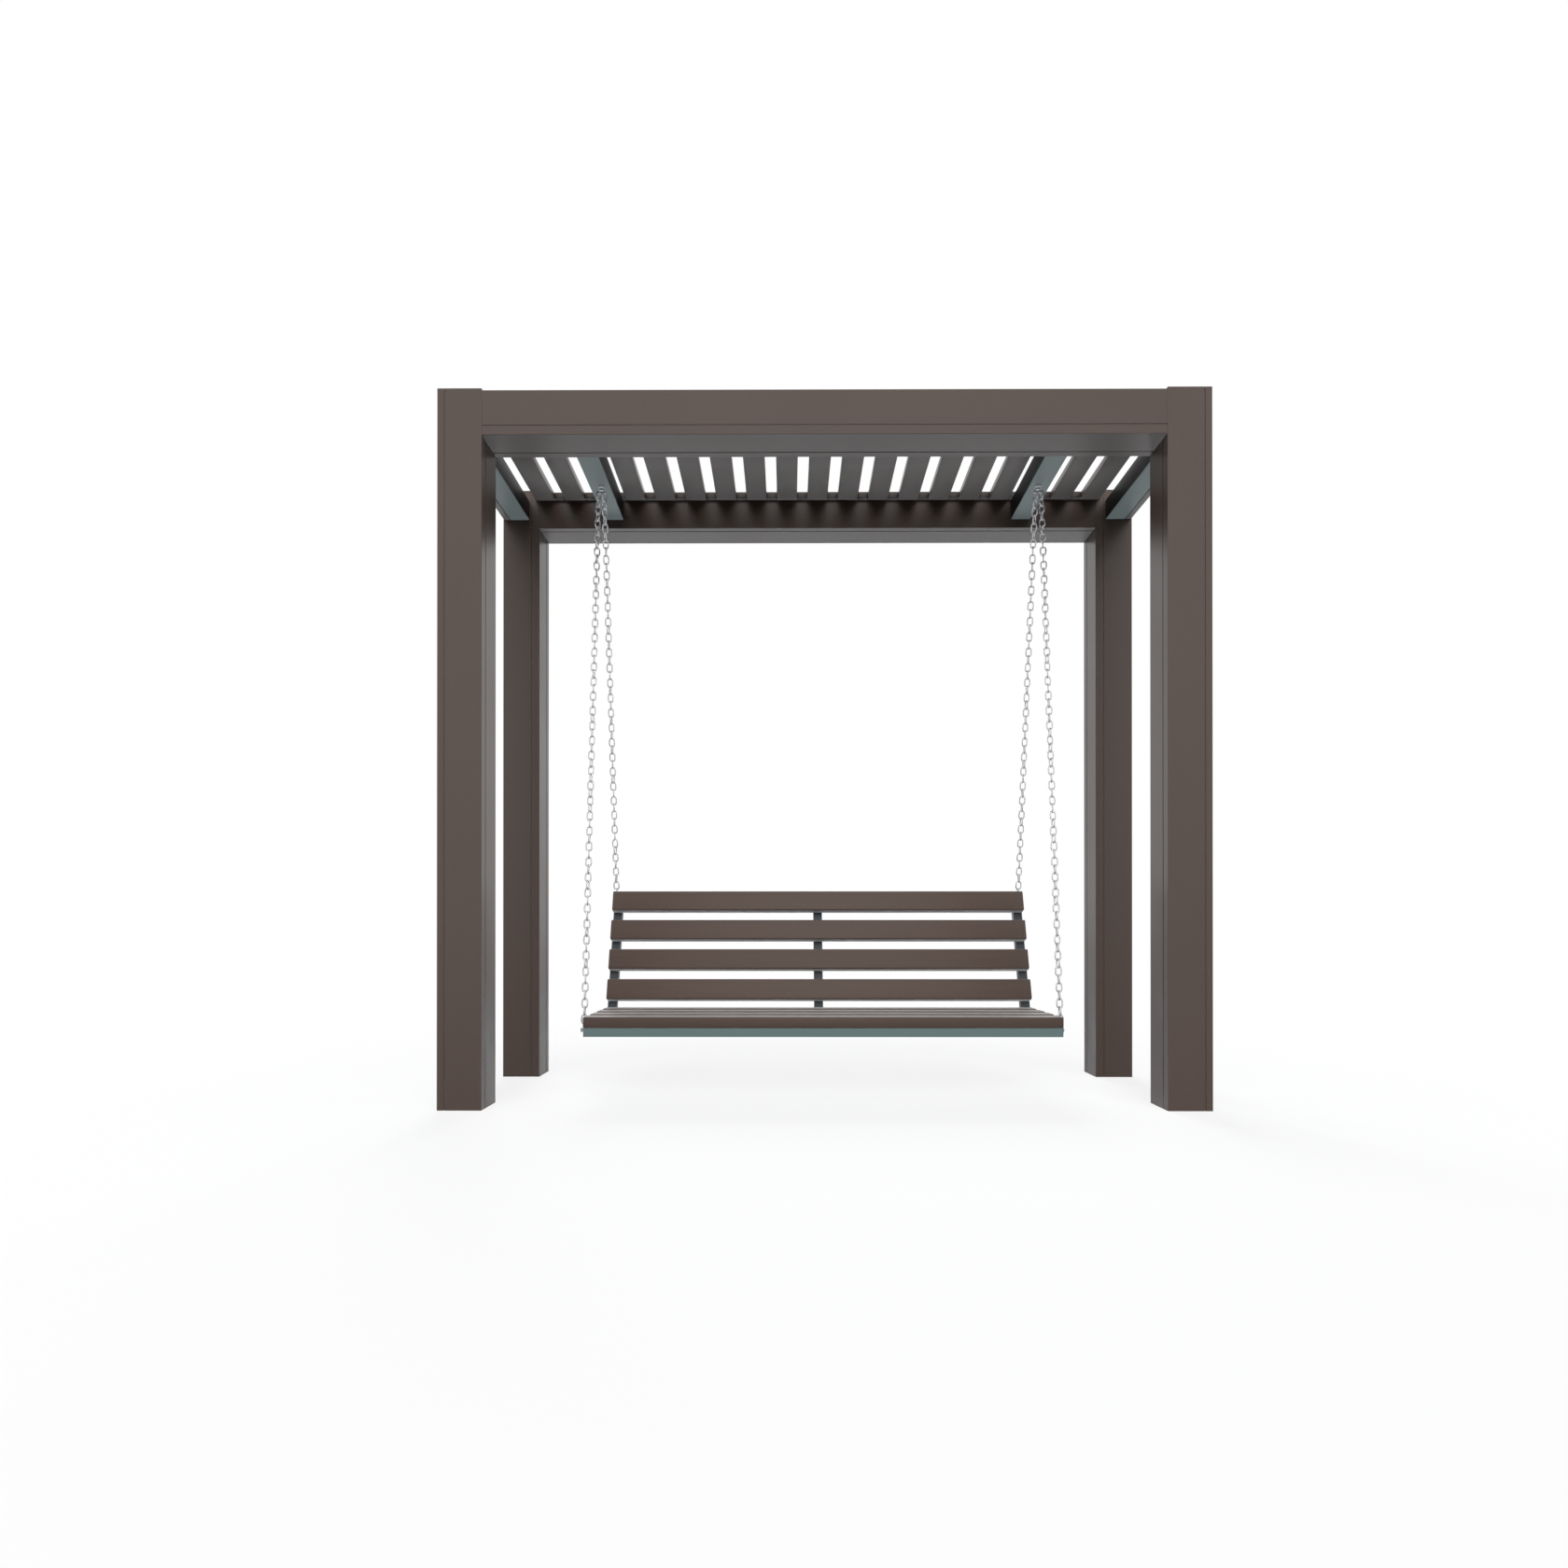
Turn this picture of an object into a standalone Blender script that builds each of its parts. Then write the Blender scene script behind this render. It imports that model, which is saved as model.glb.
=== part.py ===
# Pergola frame with a slatted bench hung in it on four chains.
# Metres, +Z up. The origin lies on the ground under the middle of the frame, +X runs
# along the bench, and a person on the bench looks along -Y.

import math

import bmesh
import bpy
from mathutils import Matrix, Vector

# Gap left between pieces that touch, and how far a cutter runs past what it cuts
FIT_GAP = 0.0003
OVERRUN = 0.004

# Whole frame
FRAME_WIDTH = 2.600
FRAME_DEPTH = 0.870
FRAME_TOP = 2.420

# Posts: grooved box sections, with one groove on each side
POST_SIDE = 0.150
POST_WALL = 0.004
POST_CORNER = 0.001
POST_FRONT_GROOVE = 0.0255
POST_INNER_GROOVE = 0.040
POST_BACK_GROOVE = 0.032
POST_OUTER_GROOVE = 0.032
GROOVE_WIDTH = 0.005
GROOVE_DEPTH = 0.002

# Post caps
CAP_THICKNESS = 0.008
CAP_CHAMFER = 0.003
CAP_PLUG_DEPTH = 0.012

# Ground shoes, a cup inside the foot of each post
SHOE_FLOOR = 0.008
SHOE_WALL = 0.004
SHOE_HEIGHT = 0.080
SHOE_HOLE_RADIUS = 0.006
SHOE_HOLE_SPACING = 0.090

# Front and rear beams, the same grooved section laid down
BEAM_SIDE = 0.150
BEAM_WALL = 0.004
BEAM_CORNER = 0.001
BEAM_UNDER_GROOVE = 0.032
BEAM_FACE_GROOVE = 0.031
BEAM_TOP_GROOVE = 0.030
BEAM_INNER_GROOVE = 0.030

# Square tubes that run from front to back under the roof
TUBE_SIDE = 0.080
TUBE_WALL = 0.003
TUBE_CORNER = 0.003
TUBE_DROP = 0.115
SIDE_TUBE_RECESS = 0.028
CROSS_TUBE_OVERHANG = 0.009

# Flat boards: the roof slats and the boards that cover the side tubes
ROOF_SLAT_COUNT = 19
ROOF_SLAT_WIDTH = 0.082
ROOF_SLAT_THICKNESS = 0.025
ROOF_SLAT_INSET = 0.175
ROOF_SLAT_WALL = 0.002
ROOF_SLAT_CORNER = 0.002

# Hangers under the cross tubes: a collar, a neck, and a lug with a cross pin through it.
# Two chains hang on each pin, and the bench swings about the middle line of the pins.
COLLAR_RADIUS = 0.012
COLLAR_RIM = 0.004
COLLAR_TAPER = 0.004
NECK_RADIUS = 0.0072
NECK_CLEARANCE = 0.0015
LUG_THICKNESS = 0.004
LUG_RADIUS = 0.0065
PIN_RADIUS = 0.003
PIN_HEAD_RADIUS = 0.004
PIN_HEAD_THICKNESS = 0.002
SWING_DROP = 0.0253
HANGER_INBOARD = 0.0052

# Ears with a hole that a link passes through
TAB_THICKNESS = 0.004
TAB_RADIUS = 0.011
TAB_HOLE_RADIUS = 0.006
TAB_ROOT = 0.0015

# Chain. Its links are turned at the top, and the turn dies out on the way down.
LINK_WIRE = 0.0055
LINK_WIDTH = 0.025
LINK_PITCH = 0.0284
LINK_SHOULDER_SHARE = 0.5
CHAIN_TURN = math.radians(56)
CHAIN_TURN_DECAY = 8
FRONT_CHAIN_GAP = 0.0015
REAR_CHAIN_INSET = 0.003

# Bench slats
BENCH_CLEARANCE = 0.318
BENCH_SLAT_WIDTH = 0.082
BENCH_SLAT_THICKNESS = 0.038
BENCH_SLAT_CORNER = 0.004
SEAT_SLAT_COUNT = 4
SEAT_PITCH = 0.115
SEAT_HEIGHT = 0.304
SEAT_FRONT = -0.334

# Bench back
BACK_SLAT_COUNT = 4
BACK_PITCH = 0.1235
BACK_LEAN = math.radians(18.7)
BACK_RISE = 0.033
BACK_ADVANCE = 0.0155

# Seat frame
RAIL_WIDTH = 0.030
RAIL_HEIGHT = 0.030
RAIL_RECESS = 0.001

# Uprights that carry the back
UPRIGHT_WIDTH = 0.035
UPRIGHT_DEPTH = 0.030
UPRIGHT_WALL = 0.003
UPRIGHT_TOP_DROP = 0.012
REAR_TAB_REACH = 0.013
REAR_TAB_DROP = 0.015

# Bolts that the front chains hang on
BOLT_RADIUS = 0.004
BOLT_HEAD_RADIUS = 0.008
BOLT_HEAD_THICKNESS = 0.005
BOLT_NUT_RADIUS = 0.007
BOLT_NUT_THICKNESS = 0.006
BOLT_CHAIN_PLAY = 0.0035
BOLT_BACKSET = 0.085

# Facets
ARC_STEPS = 2
HOLE_STEPS = 12
COLLAR_STEPS = 16
TAB_STEPS = 8
LINK_BEND_STEPS = 5
LINK_SIDES = 6

# Worked out from the above
HALF_WIDTH = FRAME_WIDTH / 2
HALF_DEPTH = FRAME_DEPTH / 2
BEAM_LENGTH = FRAME_WIDTH - 2 * POST_SIDE - 2 * FIT_GAP
BAY_DEPTH = FRAME_DEPTH - 2 * BEAM_SIDE
POST_BAY_DEPTH = FRAME_DEPTH - 2 * POST_SIDE
TUBE_UNDERSIDE = FRAME_TOP - TUBE_DROP
TUBE_TOP = TUBE_UNDERSIDE + TUBE_SIDE
SIDE_TUBE_X = HALF_WIDTH - SIDE_TUBE_RECESS - TUBE_SIDE / 2
ROOF_SLAT_PITCH = (FRAME_WIDTH - 2 * ROOF_SLAT_INSET) / (ROOF_SLAT_COUNT - 1)
BENCH_LENGTH = FRAME_WIDTH - 2 * (POST_SIDE + BENCH_CLEARANCE)
CROSS_TUBE_X = BENCH_LENGTH / 2 + CROSS_TUBE_OVERHANG
SEAT_DEPTH = (SEAT_SLAT_COUNT - 1) * SEAT_PITCH + BENCH_SLAT_WIDTH
SEAT_REAR = SEAT_FRONT + SEAT_DEPTH
RAIL_TOP = SEAT_HEIGHT - BENCH_SLAT_THICKNESS - FIT_GAP
RAIL_MIDDLE = RAIL_TOP - RAIL_HEIGHT / 2
LINK_BEND = (LINK_WIDTH - LINK_WIRE) / 2
LINK_REACH = LINK_BEND * math.cos(CHAIN_TURN) + LINK_WIRE / 2
PIN_TO_LINK = PIN_RADIUS + LINK_WIRE / 2 + FIT_GAP
SWING_HEIGHT = TUBE_UNDERSIDE - SWING_DROP
HANGER_X = CROSS_TUBE_X - HANGER_INBOARD
CHAIN_SPREAD = LUG_THICKNESS / 2 + FIT_GAP + LINK_REACH
FRONT_CHAIN_X = BENCH_LENGTH / 2 + FRONT_CHAIN_GAP + LINK_WIDTH / 2
REAR_CHAIN_X = BENCH_LENGTH / 2 - REAR_CHAIN_INSET
SEAT_BOLT_Y = SEAT_FRONT + BOLT_BACKSET
LEAN_UP = Vector((0, math.sin(BACK_LEAN), math.cos(BACK_LEAN)))
LEAN_BACK = Vector((0, math.cos(BACK_LEAN), -math.sin(BACK_LEAN)))
BACK_FOOT = Vector((0, SEAT_REAR - BACK_ADVANCE, SEAT_HEIGHT + BACK_RISE))
BACK_HEIGHT = (BACK_SLAT_COUNT - 1) * BACK_PITCH + BENCH_SLAT_WIDTH


def clear_scene():
    for old in list(bpy.data.objects):
        bpy.data.objects.remove(old, do_unlink=True)


def make_material(name, colour, roughness, metallic):
    material = bpy.data.materials.new(name)
    material.use_nodes = True
    shader = material.node_tree.nodes["Principled BSDF"]
    shader.inputs["Base Color"].default_value = (*colour, 1.0)
    shader.inputs["Roughness"].default_value = roughness
    shader.inputs["Metallic"].default_value = metallic
    return material


def add_object(name, mesh_data, material, location=(0, 0, 0), rotation=(0, 0, 0)):
    bmesh.ops.recalc_face_normals(mesh_data, faces=mesh_data.faces)
    mesh = bpy.data.meshes.new(name)
    mesh_data.to_mesh(mesh)
    mesh_data.free()
    mesh.shade_smooth()
    mesh.set_sharp_from_angle(angle=math.radians(35))
    mesh.materials.append(material)
    thing = bpy.data.objects.new(name, mesh)
    bpy.context.scene.collection.objects.link(thing)
    thing.location = location
    thing.rotation_euler = rotation
    return thing


# Outlines are lists of (u, v) points, anticlockwise.

def arc(centre_u, centre_v, radius, start, sweep, steps):
    return [
        (
            centre_u + radius * math.cos(start + sweep * step / steps),
            centre_v + radius * math.sin(start + sweep * step / steps),
        )
        for step in range(steps + 1)
    ]


def circle(centre_u, centre_v, radius, steps):
    return arc(centre_u, centre_v, radius, 0, 2 * math.pi, steps)[:-1]


def rectangle(width, height):
    return [
        (-width / 2, -height / 2),
        (width / 2, -height / 2),
        (width / 2, height / 2),
        (-width / 2, height / 2),
    ]


def rounded_rectangle(width, height, radius):
    points = []
    for turn, (side_u, side_v) in enumerate(((-1, -1), (1, -1), (1, 1), (-1, 1))):
        centre_u = side_u * (width / 2 - radius)
        centre_v = side_v * (height / 2 - radius)
        points += arc(centre_u, centre_v, radius, math.pi + turn * math.pi / 2, math.pi / 2, ARC_STEPS)
    return points


def grooved_square(side, corner, grooves, flip_u=1, flip_v=1):
    # Each side has one groove, set in from the corner where the side starts.
    points = []
    for turn, setback in enumerate(grooves):
        low = -side / 2
        start = low + setback - GROOVE_WIDTH / 2
        end = start + GROOVE_WIDTH
        floor = low + GROOVE_DEPTH
        run = arc(low + corner, low + corner, corner, math.pi, math.pi / 2, ARC_STEPS)
        run += [(start, low), (start, floor), (end, floor), (end, low)]
        cos_turn = math.cos(turn * math.pi / 2)
        sin_turn = math.sin(turn * math.pi / 2)
        points += [
            (flip_u * (u * cos_turn - v * sin_turn), flip_v * (u * sin_turn + v * cos_turn))
            for u, v in run
        ]
    return points


# Solids

SWIZZLES = {"X": "zxy", "Y": "xzy", "Z": "xyz"}


def prism(outline, holes, start, end, axis):
    # The outline lies across the axis; holes run the whole length.
    solid = bmesh.new()
    edges = []
    for loop in [outline] + holes:
        ring = [solid.verts.new((u, v, start)) for u, v in loop]
        edges += [solid.edges.new((ring[i - 1], ring[i])) for i in range(len(ring))]
    bmesh.ops.triangle_fill(solid, edges=edges, use_beauty=True)
    floor = list(solid.faces)
    grown = bmesh.ops.extrude_face_region(solid, geom=floor, use_keep_orig=True)["geom"]
    for vert in grown:
        if isinstance(vert, bmesh.types.BMVert):
            vert.co.z = end
    for vert in solid.verts:
        vert.co = getattr(vert.co, SWIZZLES[axis])
    return solid


def loft(sections):
    # Closed skin through sections that all have the same number of points.
    solid = bmesh.new()
    rings = [[solid.verts.new(point) for point in section] for section in sections]
    for low, high in zip(rings, rings[1:]):
        for index in range(len(low)):
            solid.faces.new((low[index - 1], low[index], high[index], high[index - 1]))
    solid.faces.new(rings[0])
    solid.faces.new(rings[-1])
    bmesh.ops.triangulate(solid, faces=solid.faces)
    return solid


def at_height(outline, height):
    return [(u, v, height) for u, v in outline]


def turned(stations, steps):
    # Round solid along X, from (x, radius) stations.
    return loft([[(x, u, v) for u, v in circle(0, 0, radius, steps)] for x, radius in stations])


def combine(name, base, others, operation):
    # Leaves base with the others added or cut away, and removes the others.
    for other in others:
        boolean = base.modifiers.new(other.name, "BOOLEAN")
        boolean.operation = operation
        boolean.solver = "EXACT"
        boolean.object = other
    bpy.context.view_layer.update()
    depsgraph = bpy.context.evaluated_depsgraph_get()
    mesh = bpy.data.meshes.new_from_object(base.evaluated_get(depsgraph))
    base.modifiers.clear()
    base.data = mesh
    mesh.name = name
    mesh.shade_smooth()
    mesh.set_sharp_from_angle(angle=math.radians(35))
    for other in others:
        bpy.data.objects.remove(other, do_unlink=True)
    return base


def tab(reach, root_depth):
    # Flat tab in the YZ plane that reaches down from the origin to a hole, rounded about it.
    outline = [(TAB_RADIUS, root_depth), (-TAB_RADIUS, root_depth)]
    outline += arc(0, -reach, TAB_RADIUS, math.pi, math.pi, TAB_STEPS)
    hole = circle(0, -reach, TAB_HOLE_RADIUS, HOLE_STEPS)
    return prism(outline, [hole], -TAB_THICKNESS / 2, TAB_THICKNESS / 2, "X")


# Pergola frame

def build_posts(brown, steel):
    grooves = (POST_FRONT_GROOVE, POST_INNER_GROOVE, POST_BACK_GROOVE, POST_OUTER_GROOVE)
    bore = POST_SIDE - 2 * POST_WALL
    plug = bore - 2 * FIT_GAP
    for row_name, row in (("front", -1), ("rear", 1)):
        for side_name, side in (("left", -1), ("right", 1)):
            place = f"{row_name}_{side_name}"
            x = side * (HALF_WIDTH - POST_SIDE / 2)
            y = row * (HALF_DEPTH - POST_SIDE / 2)
            outline = grooved_square(POST_SIDE, POST_CORNER, grooves, -side, -row)
            post = prism(outline, [rectangle(bore, bore)], 0, FRAME_TOP, "Z")
            add_object(f"post_{place}", post, brown, (x, y, 0))
            build_cap(f"post_cap_{place}", plug, brown, (x, y, FRAME_TOP + FIT_GAP))
            build_shoe(f"ground_shoe_{place}", plug, steel, (x, y, 0))


def build_cap(name, plug, brown, location):
    crown = POST_SIDE - 2 * CAP_CHAMFER
    cap = loft([
        at_height(rectangle(plug, plug), -CAP_PLUG_DEPTH),
        at_height(rectangle(plug, plug), 0),
        at_height(rectangle(POST_SIDE, POST_SIDE), 0),
        at_height(rectangle(POST_SIDE, POST_SIDE), CAP_THICKNESS - CAP_CHAMFER),
        at_height(rectangle(crown, crown), CAP_THICKNESS),
    ])
    add_object(name, cap, brown, location)


def build_shoe(name, plug, steel, location):
    inside = plug - 2 * SHOE_WALL
    cup = loft([
        at_height(rectangle(plug, plug), 0),
        at_height(rectangle(plug, plug), SHOE_HEIGHT),
        at_height(rectangle(inside, inside), SHOE_HEIGHT),
        at_height(rectangle(inside, inside), SHOE_FLOOR),
    ])
    shoe = add_object(name, cup, steel, location)
    drills = []
    for across in (-1, 1):
        for along in (-1, 1):
            hole = circle(0, 0, SHOE_HOLE_RADIUS, HOLE_STEPS)
            drill = prism(hole, [], -OVERRUN, SHOE_FLOOR + OVERRUN, "Z")
            x = location[0] + across * SHOE_HOLE_SPACING / 2
            y = location[1] + along * SHOE_HOLE_SPACING / 2
            drills.append(add_object("drill", drill, steel, (x, y, location[2])))
    combine(name, shoe, drills, "DIFFERENCE")


def build_beams(brown):
    grooves = (BEAM_UNDER_GROOVE, BEAM_FACE_GROOVE, BEAM_TOP_GROOVE, BEAM_INNER_GROOVE)
    bore = BEAM_SIDE - 2 * BEAM_WALL
    for name, row in (("front_beam", -1), ("rear_beam", 1)):
        outline = grooved_square(BEAM_SIDE, BEAM_CORNER, grooves, row, 1)
        beam = prism(outline, [rectangle(bore, bore)], -BEAM_LENGTH / 2, BEAM_LENGTH / 2, "X")
        y = row * (HALF_DEPTH - BEAM_SIDE / 2)
        add_object(name, beam, brown, (0, y, FRAME_TOP - BEAM_SIDE / 2))


def build_tubes(grey):
    outline = rounded_rectangle(TUBE_SIDE, TUBE_SIDE, TUBE_CORNER)
    bore = rectangle(TUBE_SIDE - 2 * TUBE_WALL, TUBE_SIDE - 2 * TUBE_WALL)
    z = TUBE_UNDERSIDE + TUBE_SIDE / 2
    for side_name, side in (("left", -1), ("right", 1)):
        for name, x, bay in (
            ("side_tube", SIDE_TUBE_X, POST_BAY_DEPTH),
            ("cross_tube", CROSS_TUBE_X, BAY_DEPTH),
        ):
            half = bay / 2 - FIT_GAP
            tube = prism(outline, [bore], -half, half, "Y")
            add_object(f"{name}_{side_name}", tube, grey, (side * x, 0, z))


def roof_board(start, end, width, thickness):
    wall = 2 * ROOF_SLAT_WALL
    outline = rounded_rectangle(width, thickness, ROOF_SLAT_CORNER)
    bore = rectangle(width - wall, thickness - wall)
    return prism(outline, [bore], start, end, "Y")


def build_roof(brown):
    half = BAY_DEPTH / 2 - FIT_GAP
    z = TUBE_TOP + FIT_GAP + ROOF_SLAT_THICKNESS / 2
    for number in range(ROOF_SLAT_COUNT):
        x = (number - (ROOF_SLAT_COUNT - 1) / 2) * ROOF_SLAT_PITCH
        slat = roof_board(-half, half, ROOF_SLAT_WIDTH, ROOF_SLAT_THICKNESS)
        add_object(f"roof_slat_{number + 1:02d}", slat, brown, (x, 0, z))


def build_side_boards(brown):
    # The same board as a roof slat, on edge against the outside of each side tube
    half = POST_BAY_DEPTH / 2 - FIT_GAP
    x = SIDE_TUBE_X + TUBE_SIDE / 2 + FIT_GAP + ROOF_SLAT_THICKNESS / 2
    z = TUBE_UNDERSIDE + ROOF_SLAT_WIDTH / 2
    for side_name, side in (("left", -1), ("right", 1)):
        board = roof_board(-half, half, ROOF_SLAT_THICKNESS, ROOF_SLAT_WIDTH)
        add_object(f"side_board_{side_name}", board, brown, (side * x, 0, z))


def build_hangers(steel):
    top = TUBE_UNDERSIDE - FIT_GAP
    taper_top = top - COLLAR_RIM
    neck_top = taper_top - COLLAR_TAPER
    neck_bottom = SWING_HEIGHT + PIN_TO_LINK + LINK_WIRE / 2 + NECK_CLEARANCE
    wide = circle(0, 0, COLLAR_RADIUS, COLLAR_STEPS)
    narrow = circle(0, 0, NECK_RADIUS, COLLAR_STEPS)
    root = neck_bottom + TAB_ROOT - SWING_HEIGHT
    lug_outline = [(LUG_RADIUS, root), (-LUG_RADIUS, root)]
    lug_outline += arc(0, 0, LUG_RADIUS, math.pi, math.pi, TAB_STEPS)
    end = CHAIN_SPREAD + LINK_REACH + FIT_GAP
    stations = [
        (-end - PIN_HEAD_THICKNESS, PIN_HEAD_RADIUS),
        (-end, PIN_HEAD_RADIUS),
        (-end, PIN_RADIUS),
        (end, PIN_RADIUS),
        (end, PIN_HEAD_RADIUS),
        (end + PIN_HEAD_THICKNESS, PIN_HEAD_RADIUS),
    ]
    for side_name, side in (("left", -1), ("right", 1)):
        place = (side * HANGER_X, 0, SWING_HEIGHT)
        collar = loft([
            at_height(wide, top - SWING_HEIGHT),
            at_height(wide, taper_top - SWING_HEIGHT),
            at_height(narrow, neck_top - SWING_HEIGHT),
            at_height(narrow, neck_bottom - SWING_HEIGHT),
        ])
        hanger = add_object(f"hanger_{side_name}", collar, steel, place)
        lug = prism(lug_outline, [], -LUG_THICKNESS / 2, LUG_THICKNESS / 2, "X")
        others = [
            add_object("lug", lug, steel, place),
            add_object("pin", turned(stations, HOLE_STEPS), steel, place),
        ]
        combine(hanger.name, hanger, others, "UNION")


# Bench

def build_seat(composite):
    outline = rounded_rectangle(BENCH_SLAT_WIDTH, BENCH_SLAT_THICKNESS, BENCH_SLAT_CORNER)
    half = BENCH_LENGTH / 2
    z = SEAT_HEIGHT - BENCH_SLAT_THICKNESS / 2
    for number in range(SEAT_SLAT_COUNT):
        y = SEAT_FRONT + BENCH_SLAT_WIDTH / 2 + number * SEAT_PITCH
        slat = prism(outline, [], -half, half, "X")
        yield add_object(f"seat_slat_{number + 1}", slat, composite, (0, y, z))


def build_back(composite):
    outline = rounded_rectangle(BENCH_SLAT_THICKNESS, BENCH_SLAT_WIDTH, BENCH_SLAT_CORNER)
    half = BENCH_LENGTH / 2
    for number in range(BACK_SLAT_COUNT):
        rise = number * BACK_PITCH + BENCH_SLAT_WIDTH / 2
        middle = BACK_FOOT + LEAN_UP * rise + LEAN_BACK * BENCH_SLAT_THICKNESS / 2
        slat = prism(outline, [], -half, half, "X")
        yield add_object(f"back_slat_{number + 1}", slat, composite, middle, (-BACK_LEAN, 0, 0))


def build_seat_frame(grey):
    # Front, rear, end and middle rails welded into one flat frame, drilled for the chain bolts
    length = BENCH_LENGTH - 2 * RAIL_RECESS
    depth = SEAT_DEPTH - 2 * RAIL_RECESS
    bay = (length - 3 * RAIL_WIDTH) / 2
    windows = []
    for side in (-1, 1):
        centre = side * (bay + RAIL_WIDTH) / 2
        windows.append([(u + centre, v) for u, v in rectangle(bay, depth - 2 * RAIL_WIDTH)])
    rails = prism(rectangle(length, depth), windows, -RAIL_HEIGHT / 2, RAIL_HEIGHT / 2, "Z")
    y = (SEAT_FRONT + SEAT_REAR) / 2
    frame = add_object("seat_frame", rails, grey, (0, y, RAIL_MIDDLE))
    hole = circle(0, 0, BOLT_RADIUS + FIT_GAP, HOLE_STEPS)
    reach = length / 2 + OVERRUN
    drills = []
    for side in (-1, 1):
        ends = sorted((side * (reach - RAIL_WIDTH - 2 * OVERRUN), side * reach))
        drill = prism(hole, [], ends[0], ends[1], "X")
        drills.append(add_object("drill", drill, grey, (0, SEAT_BOLT_Y, RAIL_MIDDLE)))
    return combine("seat_frame", frame, drills, "DIFFERENCE")


def upright_top():
    return BACK_HEIGHT - UPRIGHT_TOP_DROP


def build_uprights(anthracite):
    # Tubes that lean with the back. Their feet are cut upright, to lie flat on the rear rail.
    outline = rounded_rectangle(UPRIGHT_WIDTH, UPRIGHT_DEPTH, UPRIGHT_WALL / 2)
    bore = rectangle(UPRIGHT_WIDTH - 2 * UPRIGHT_WALL, UPRIGHT_DEPTH - 2 * UPRIGHT_WALL)
    across = BENCH_SLAT_THICKNESS + FIT_GAP + UPRIGHT_DEPTH / 2
    origin = BACK_FOOT + LEAN_BACK * across
    foot = (RAIL_TOP - RAIL_HEIGHT - origin.z) / math.cos(BACK_LEAN) - UPRIGHT_DEPTH
    end_x = BENCH_LENGTH / 2 - UPRIGHT_WIDTH / 2
    seat_face = SEAT_REAR + FIT_GAP
    for side_name, side in (("left", -1), ("middle", 0), ("right", 1)):
        name = f"back_upright_{side_name}"
        tube = prism(outline, [bore], foot, upright_top(), "Z")
        x = side * end_x
        upright = add_object(name, tube, anthracite, (x, origin.y, origin.z), (-BACK_LEAN, 0, 0))
        tall = SEAT_HEIGHT + BACK_RISE
        seat_room = prism(rectangle(2 * UPRIGHT_WIDTH, SEAT_DEPTH), [], 0, tall, "Z")
        below = rectangle(2 * UPRIGHT_WIDTH, 2 * SEAT_DEPTH)
        floor_room = prism(below, [], 0, RAIL_TOP - RAIL_HEIGHT, "Z")
        cutters = [
            add_object("seat_room", seat_room, anthracite, (x, seat_face - SEAT_DEPTH / 2, 0)),
            add_object("floor_room", floor_room, anthracite, (x, seat_face, 0)),
        ]
        combine(name, upright, cutters, "DIFFERENCE")
        if side:
            ear = tab(REAR_TAB_REACH, TAB_ROOT)
            place = rear_tab_root()
            turn = math.pi / 2 - BACK_LEAN
            root = (side * REAR_CHAIN_X, place.y, place.z)
            combine(name, upright, [add_object("ear", ear, anthracite, root, (turn, 0, 0))], "UNION")
        yield upright


def rear_tab_root():
    across = BENCH_SLAT_THICKNESS + FIT_GAP + UPRIGHT_DEPTH
    return BACK_FOOT + LEAN_UP * (upright_top() - REAR_TAB_DROP) + LEAN_BACK * across


# Chains and the bolts that hold the front ones

def build_bolts(steel):
    inner_face = BENCH_LENGTH / 2 - RAIL_RECESS - RAIL_WIDTH - FIT_GAP
    head = FRONT_CHAIN_X + LINK_WIRE / 2 + BOLT_CHAIN_PLAY
    stations = [
        (inner_face - BOLT_NUT_THICKNESS, BOLT_NUT_RADIUS),
        (inner_face, BOLT_NUT_RADIUS),
        (inner_face, BOLT_RADIUS),
        (head, BOLT_RADIUS),
        (head, BOLT_HEAD_RADIUS),
        (head + BOLT_HEAD_THICKNESS, BOLT_HEAD_RADIUS),
    ]
    for side_name, side in (("left", -1), ("right", 1)):
        bolt = turned([(side * x, radius) for x, radius in stations], HOLE_STEPS)
        yield add_object(f"chain_bolt_{side_name}", bolt, steel, (0, SEAT_BOLT_Y, RAIL_MIDDLE))


def chain_turn(share):
    # The turn of the links at a share of the way down
    return CHAIN_TURN * (1 - share) ** CHAIN_TURN_DECAY


def end_link(top, bottom, face_on, turn):
    # One whole link, between the heights of its wire's centre line at top and bottom
    radius = LINK_BEND / math.cos(math.pi / (2 * LINK_BEND_STEPS))
    path = arc(0, top - LINK_BEND, radius, 0, math.pi, LINK_BEND_STEPS)
    path += arc(0, bottom + LINK_BEND, radius, math.pi, math.pi, LINK_BEND_STEPS)
    link = bmesh.new()
    rings = []
    for index, (across, height) in enumerate(path):
        before = Vector(path[index - 1])
        after = Vector(path[(index + 1) % len(path)])
        outward = (after - before).normalized()
        outward = Vector((outward.y, -outward.x))
        ring = []
        for wire_out, wire_side in circle(0, 0, LINK_WIRE / 2, LINK_SIDES):
            u = across + outward.x * wire_out
            z = height + outward.y * wire_out
            ring.append(link.verts.new((u, wire_side, z) if face_on else (wire_side, u, z)))
        rings.append(ring)
    for low, high in zip(rings, rings[1:] + rings[:1]):
        for index in range(LINK_SIDES):
            link.faces.new((low[index - 1], low[index], high[index], high[index - 1]))
    bmesh.ops.triangulate(link, faces=link.faces)
    bmesh.ops.rotate(link, verts=link.verts, cent=(0, 0, 0), matrix=Matrix.Rotation(turn, 3, "Z"))
    return link


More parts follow.
